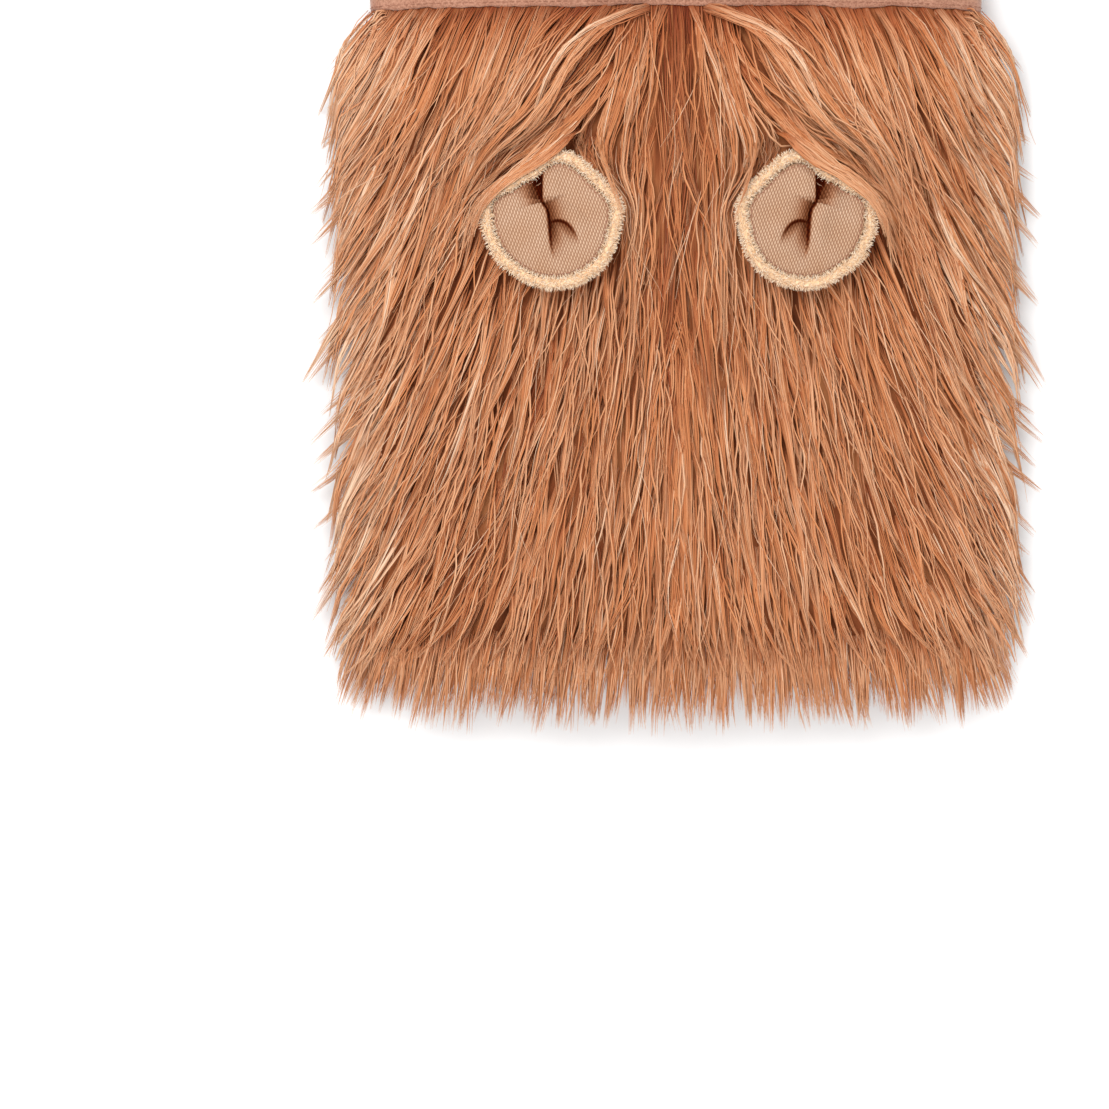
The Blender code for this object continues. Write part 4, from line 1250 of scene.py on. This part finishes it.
def makeFrontUndercoat(material):
    columns, rows = undercoat["columns"], undercoat["rows"]
    x, z = sectionPoints(columns, -14.0, 194.0)[:2]
    rings, flatX, flatY = [], [], []
    for y in np.linspace(tube["pileTopY"] + 3.5, tube["hemY"] + 1.5, rows):
        level = np.where(z > 0, z * frontRise(y), z * (tube["foldZ"] - tube["backZ"]))
        alongX, alongZ = np.gradient(x), np.gradient(level)
        size = np.hypot(alongX, alongZ)
        outX, outZ = alongZ / size, -alongX / size
        lock = rippleNoise(x / 6.5 + np.sin(y / 40), y / 42, 71)
        thick = undercoat["front"] * (1 + 0.16 * lock)
        ends = smoothStep(np.minimum(np.arange(columns), columns - 1 - np.arange(columns)) / 8)
        fade = smoothStep((y - tube["hemY"]) / 25) * 0.6 + 0.4
        fade = fade * smoothStep((tube["pileTopY"] + 2.0 - y) / undercoat["collarFade"])
        thick = 0.12 + thick * ends * fade
        inner, outer = (
            np.stack([x + outX * out, np.full(columns, y), tube["foldZ"] + level + outZ * out], axis=1)
            for out in (0.05, 0.05 + thick))
        rings.append(np.concatenate([outer, inner[::-1]]))
        flatX.append(np.concatenate([x, x[::-1]]))
        flatY.append(np.full(2 * columns, y))
    points = np.concatenate(rings)
    faces = ringFaces(rows, 2 * columns) + slabCaps(rows, 2 * columns)
    obj = makeMesh("furUndercoat", points, faces, material)
    start, back = traceFlow(np.concatenate(flatX), np.concatenate(flatY))
    addMap(obj.data, "flow", start * 0.01, back * 0.01)
    return obj


def makeUnderPad(material):
    columns, rows = undercoat["padColumns"], undercoat["padRows"]
    x = sectionPoints(columns, 180.0, 360.0)[0]
    rings = []
    for y in np.linspace(tube["pileTopY"] - 1.5, tube["hemY"] + 1.0, rows):
        grain = 0.5 * rippleNoise(x / 6, np.full(columns, y / 30), 73)
        rounded = undercoat["padLift"] * (1 - smoothStep((tube["pileTopY"] + 2 - y) / 12))
        low = np.clip(0.9 + grain * 0.8, floorClear, 2.0) + rounded
        top = np.stack([x * 0.985, np.full(columns, y), tube["backZ"] - 0.5 + 0 * x], axis=1)
        edge = undercoat["padHalf"] + 1.5 * rippleNoise(np.array([y / 12]), np.array([0.0]), 74)[0]
        bottom = np.stack([x[::-1] / tube["halfWidth"] * edge, np.full(columns, y), low], axis=1)
        rings.append(np.concatenate([top, bottom]))
    points = np.concatenate(rings)
    faces = ringFaces(rows, 2 * columns) + slabCaps(rows, 2 * columns)
    obj = makeMesh("furUnderPad", points, faces, material)
    start, back = traceFlow(points[:, 0], points[:, 1])
    addMap(obj.data, "flow", start * 0.01, back * 0.01)
    return obj


# Finishes
def newMaterial(name, roughness, sheen=0.0, specular=0.3):
    material = bpy.data.materials.new(name)
    material.use_nodes = True
    shader = material.node_tree.nodes["Principled BSDF"]
    shader.inputs["Roughness"].default_value = roughness
    shader.inputs["Sheen Weight"].default_value = sheen
    shader.inputs["Specular IOR Level"].default_value = specular
    return material, material.node_tree, shader


multiply = {"data_type": "RGBA", "blend_type": "MULTIPLY"}


def furMaterial():
    # acrylic faux fur: matte fine fibres with a weak silky gloss, paler at the tip; the darkening towards the root is
    # painted shade deep in the pile
    material, tree, shader = newMaterial("acrylic faux fur", 0.55, sheen=0.03, specular=0.25)
    place = addNode(tree, "ShaderNodeUVMap", {"uv_map": "OFBake"})
    split = addNode(tree, "ShaderNodeSeparateXYZ", None, {0: place.outputs[0]}).outputs
    tones = addNode(tree, "ShaderNodeValToRGB", None, {"Fac": split["X"]},
                    [(0.0, "#934822"), (0.5, "#cc8453"), (0.8, "#dda880"), (1.0, "#eccdb0")])
    # painted shade: each fibre's colour is darkened towards its root
    length = addNode(tree, "ShaderNodeValToRGB", None, {"Fac": split["Y"]},
                     [(0.0, "#b4856a"), (0.14, "#e8cdbb"), (0.45, "#ffffff"), (1.0, "#ffffff")])
    pale = addNode(tree, "ShaderNodeValToRGB", None, {"Fac": split["Y"]}, [(0.72, "#000000"), (1.0, "#909090")])
    fibre = addNode(tree, "ShaderNodeMix", multiply, {0: 1.0, 6: tones.outputs[0], 7: length.outputs[0]})
    tipped = addNode(tree, "ShaderNodeMix", {"data_type": "RGBA"},
                     {0: pale.outputs[0], 6: fibre.outputs[2], 7: hexColour("#f2c8a0")})
    tree.links.new(tipped.outputs[2], shader.inputs["Base Color"])
    return material


def undercoatShadeMaterial():
    # dense base of the same fur: streaks of fibre 1 to 3 mm wide along its lie; its dark browns between the locks are
    # painted shade
    material, tree, shader = newMaterial("faux fur undercoat, painted shade", 0.8, sheen=0.02, specular=0.15)
    place = addNode(tree, "ShaderNodeUVMap", {"uv_map": "flow"})
    stretched = addNode(tree, "ShaderNodeMapping", None, {"Vector": place.outputs[0], "Scale": (42.0, 1.6, 1.0)})
    streaks = addNode(tree, "ShaderNodeTexNoise", None,
                      {"Vector": stretched.outputs[0], "Scale": 1.0, "Detail": 3.0, "Roughness": 0.65})
    # painted shade: dark brown for the shade between the locks
    colour = addNode(tree, "ShaderNodeValToRGB", None, {"Fac": streaks.outputs["Fac"]},
                     [(0.32, "#55280f"), (0.5, "#8c4c2a"), (0.7, "#bd7c4e")])
    tree.links.new(colour.outputs[0], shader.inputs["Base Color"])
    bump = addNode(tree, "ShaderNodeBump", None,
                   {"Strength": 0.8, "Distance": 0.0012, "Height": streaks.outputs["Fac"]})
    tree.links.new(bump.outputs[0], shader.inputs["Normal"])
    return material


def backingMaterial():
    # warp-knit polyester ground cloth: dull, even, with fine ribs 2 mm apart where the pile is knitted in
    material, tree, shader = newMaterial("warp-knit polyester", 0.9)
    place = addNode(tree, "ShaderNodeUVMap", {"uv_map": "cloth"})
    ribs = addNode(tree, "ShaderNodeTexWave", {"wave_type": "BANDS", "bands_direction": "X"},
                   {"Vector": place.outputs[0], "Scale": 16.0, "Distortion": 0.6, "Detail": 1.0})
    rows = addNode(tree, "ShaderNodeTexWave", {"wave_type": "BANDS", "bands_direction": "Y"},
                   {"Vector": place.outputs[0], "Scale": 22.0, "Distortion": 0.4, "Detail": 1.0})
    height = addNode(tree, "ShaderNodeMath", {"operation": "MULTIPLY_ADD"},
                     {0: rows.outputs["Fac"], 1: 0.4, 2: ribs.outputs["Fac"]})
    cloud = addNode(tree, "ShaderNodeTexNoise", None, {"Vector": place.outputs[0], "Scale": 5.0, "Detail": 4.0})
    base = addNode(tree, "ShaderNodeValToRGB", None, {"Fac": cloud.outputs["Fac"]},
                   [(0.3, "#9c6a48"), (0.7, "#b58360")])
    shade = addNode(tree, "ShaderNodeValToRGB", None, {"Fac": height.outputs[0]}, [(0.0, "#b0a49c"), (1.0, "#ffffff")])
    ribbed = addNode(tree, "ShaderNodeMix", multiply, {0: 1.0, 6: base.outputs[0], 7: shade.outputs[0]})
    tree.links.new(ribbed.outputs[2], shader.inputs["Base Color"])
    bump = addNode(tree, "ShaderNodeBump", None, {"Strength": 0.5, "Distance": 0.0004, "Height": height.outputs[0]})
    tree.links.new(bump.outputs[0], shader.inputs["Normal"])
    return material


def bandMaterial():
    # brushed polyester jersey: matte, its surface raised to a short nap that blurs the knit
    material, tree, shader = newMaterial("brushed jersey", 0.95, sheen=0.35, specular=0.2)
    place = addNode(tree, "ShaderNodeTexCoord").outputs["Object"]
    cloud = addNode(tree, "ShaderNodeTexNoise", None, {"Vector": place, "Scale": 90.0, "Detail": 5.0})
    nap = addNode(tree, "ShaderNodeTexNoise", None, {"Vector": place, "Scale": 1100.0, "Detail": 2.0})
    base = addNode(tree, "ShaderNodeValToRGB", None, {"Fac": cloud.outputs["Fac"]},
                   [(0.3, "#ab7962"), (0.7, "#be8d75")])
    fleck = addNode(tree, "ShaderNodeValToRGB", None, {"Fac": nap.outputs["Fac"]},
                    [(0.25, "#c8b8b0"), (0.6, "#ffffff")])
    napped = addNode(tree, "ShaderNodeMix", multiply, {0: 1.0, 6: base.outputs[0], 7: fleck.outputs[0]})
    tree.links.new(napped.outputs[2], shader.inputs["Base Color"])
    bump = addNode(tree, "ShaderNodeBump", None, {"Strength": 0.6, "Distance": 0.0005, "Height": nap.outputs["Fac"]})
    tree.links.new(bump.outputs[0], shader.inputs["Normal"])
    return material


def knitMaterial():
    # fine plain knit, seen as slanting rows of small loops 1.5 mm apart, paler on top and brown between; darkened in
    # and beside the folds as painted shade
    material, tree, shader = newMaterial("fine rib knit", 0.95, specular=0.04)
    place = addNode(tree, "ShaderNodeUVMap", {"uv_map": "cloth"})
    turned = addNode(tree, "ShaderNodeMapping", None, {"Vector": place.outputs[0], "Rotation": (0.0, 0.0, 0.35)})
    ribs, rows = (
        addNode(tree, "ShaderNodeTexWave", {"wave_type": "BANDS", "bands_direction": direction},
                {"Vector": turned.outputs[0], "Scale": scale, "Distortion": 0.5, "Detail": 1.0, "Detail Scale": 2.0})
        for direction, scale in (("X", 2.0), ("DIAGONAL", 3.6)))
    height = addNode(tree, "ShaderNodeMath", {"operation": "MULTIPLY"},
                     {0: ribs.outputs["Fac"], 1: rows.outputs["Fac"]})
    cloud = addNode(tree, "ShaderNodeTexNoise", None, {"Vector": place.outputs[0], "Scale": 0.5, "Detail": 3.0})
    base = addNode(tree, "ShaderNodeValToRGB", None, {"Fac": cloud.outputs["Fac"]},
                   [(0.3, "#e8c2a3"), (0.7, "#f6d8bf")])
    loops = addNode(tree, "ShaderNodeValToRGB", None, {"Fac": height.outputs[0]},
                    [(0.0, "#a08b7e"), (0.3, "#d4c9c0"), (1.0, "#ece7e3")])
    # painted shade: the knit's colour multiplied darker in and beside the folds, after the lining's fold attribute
    fold = addNode(tree, "ShaderNodeAttribute", {"attribute_name": "fold"})
    shade = addNode(tree, "ShaderNodeValToRGB", None, {"Fac": fold.outputs["Fac"]},
                    [(0.0, "#ffffff"), (0.25, "#d9bfae"), (0.5, "#a0765c"), (0.75, "#743a1e"), (1.0, "#5c2409")])
    looped = addNode(tree, "ShaderNodeMix", multiply, {0: 1.0, 6: base.outputs[0], 7: loops.outputs[0]})
    shaded = addNode(tree, "ShaderNodeMix", multiply, {0: 1.0, 6: looped.outputs[2], 7: shade.outputs[0]})
    tree.links.new(shaded.outputs[2], shader.inputs["Base Color"])
    bump = addNode(tree, "ShaderNodeBump", None, {"Strength": 0.7, "Distance": 0.0006, "Height": height.outputs[0]})
    tree.links.new(bump.outputs[0], shader.inputs["Normal"])
    return material


def plushMaterial():
    # short polyester plush, its cut pile felted into small tufts: cream, soft and without gloss
    material, tree, shader = newMaterial("short polyester plush", 0.9, sheen=0.4, specular=0.2)
    place = addNode(tree, "ShaderNodeTexCoord").outputs["Object"]
    tufts = addNode(tree, "ShaderNodeTexNoise", None, {"Vector": place, "Scale": 420.0, "Detail": 4.0})
    colour = addNode(tree, "ShaderNodeValToRGB", None, {"Fac": tufts.outputs["Fac"]},
                     [(0.3, "#d9ae84"), (0.55, "#f2d0a8"), (0.8, "#fbe4c8")])
    tree.links.new(colour.outputs[0], shader.inputs["Base Color"])
    bump = addNode(tree, "ShaderNodeBump", None, {"Strength": 0.8, "Distance": 0.001, "Height": tufts.outputs["Fac"]})
    tree.links.new(bump.outputs[0], shader.inputs["Normal"])
    return material


def plushFibreMaterial():
    # single fibres of that plush: cream, darkened towards the root as painted shade
    material, tree, shader = newMaterial("plush fibre", 0.8, sheen=0.3)
    place = addNode(tree, "ShaderNodeUVMap", {"uv_map": "OFBake"})
    split = addNode(tree, "ShaderNodeSeparateXYZ", None, {0: place.outputs[0]}).outputs
    tones = addNode(tree, "ShaderNodeValToRGB", None, {"Fac": split["X"]},
                    [(0.0, "#f0cda4"), (0.6, "#fbe2c2"), (1.0, "#fff2de")])
    # painted shade: darker towards each fibre's root
    length = addNode(tree, "ShaderNodeValToRGB", None, {"Fac": split["Y"]},
                     [(0.0, "#e0c8b4"), (0.5, "#ffffff"), (1.0, "#ffffff")])
    fibre = addNode(tree, "ShaderNodeMix", multiply, {0: 1.0, 6: tones.outputs[0], 7: length.outputs[0]})
    tree.links.new(fibre.outputs[2], shader.inputs["Base Color"])
    return material


def threadMaterial():
    # spun polyester thread: brown, slightly silky, with a twist too fine to show
    material, tree, shader = newMaterial("spun polyester thread", 0.6)
    place = addNode(tree, "ShaderNodeTexCoord").outputs["Object"]
    fuzz = addNode(tree, "ShaderNodeTexNoise", None, {"Vector": place, "Scale": 900.0, "Detail": 2.0})
    colour = addNode(tree, "ShaderNodeValToRGB", None, {"Fac": fuzz.outputs["Fac"]},
                     [(0.3, "#8a5a44"), (0.7, "#a87660")])
    tree.links.new(colour.outputs[0], shader.inputs["Base Color"])
    return material


def carry(piece, slotName, *nodes):
    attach(piece, "root")
    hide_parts(*nodes)


makeCamera()
makeStudio()
strandTree = buildStrandTree()
pileTree = buildPileTree()
stitchTree = buildStitchTree()
furFibre = furMaterial()
undercoatShadeFinish = undercoatShadeMaterial()
plushFinish = plushMaterial()
plushFibre = plushFibreMaterial()
knitFinish = knitMaterial()
thread = threadMaterial()

frontFur = makeFrontFur(furFibre)
frontFur += [make(furFibre) for make in (makeRidges, makeSweptFur, makeTufts, makeFringe, makeWisps)]
frontFur.append(makeFrontUndercoat(undercoatShadeFinish))
for piece in frontFur:
    carry(piece, "fur", "mane_fur_front")
backFur = [makeUnderFur(furFibre), makeUnderPad(undercoatShadeFinish)]
for piece in backFur:
    carry(piece, "fur", "mane_fur_back")
print("fur made")

backing = makeBacking(backingMaterial())
carry(backing, "backing", "mane_backing")
band = makeBand(bandMaterial())
carry(band, "band_fabric", "neck_band")
seamOut = cloth["bandGap"] + cloth["bandThick"] - 1.0 + 0.25
seamRow = tubePoints(cloth["bandLow"] + cloth["stitchRise"], cloth["bandSteps"], seamOut)
seam = makeStitches("bandStitches", seamRow, thread, cloth["stitchPitch"], cloth["stitchWidth"], True)
carry(seam, "band_fabric", "neck_band")
print("tube and band made")

for side, label in ((-1, "Left"), (1, "Right")):
    node = "ear_" + label.lower()
    back = makeEarBack("ear" + label + "Back", side, plushFinish)
    hairs = makePile("ear" + label + "Pile", back, plushFibre, 3 + side)
    lining = makeEarLining("ear" + label + "Lining", side, knitFinish)
    for piece in (back, hairs):
        carry(piece, "plush", node + "_back")
    stitchRow = makeStitches("ear" + label + "Seam", earSeamRow(side), thread,
                             ear["stitchPitch"], ear["stitchWidth"], False)
    for piece in (lining, stitchRow):
        carry(piece, "knit", node + "_lining")
print("ears made")
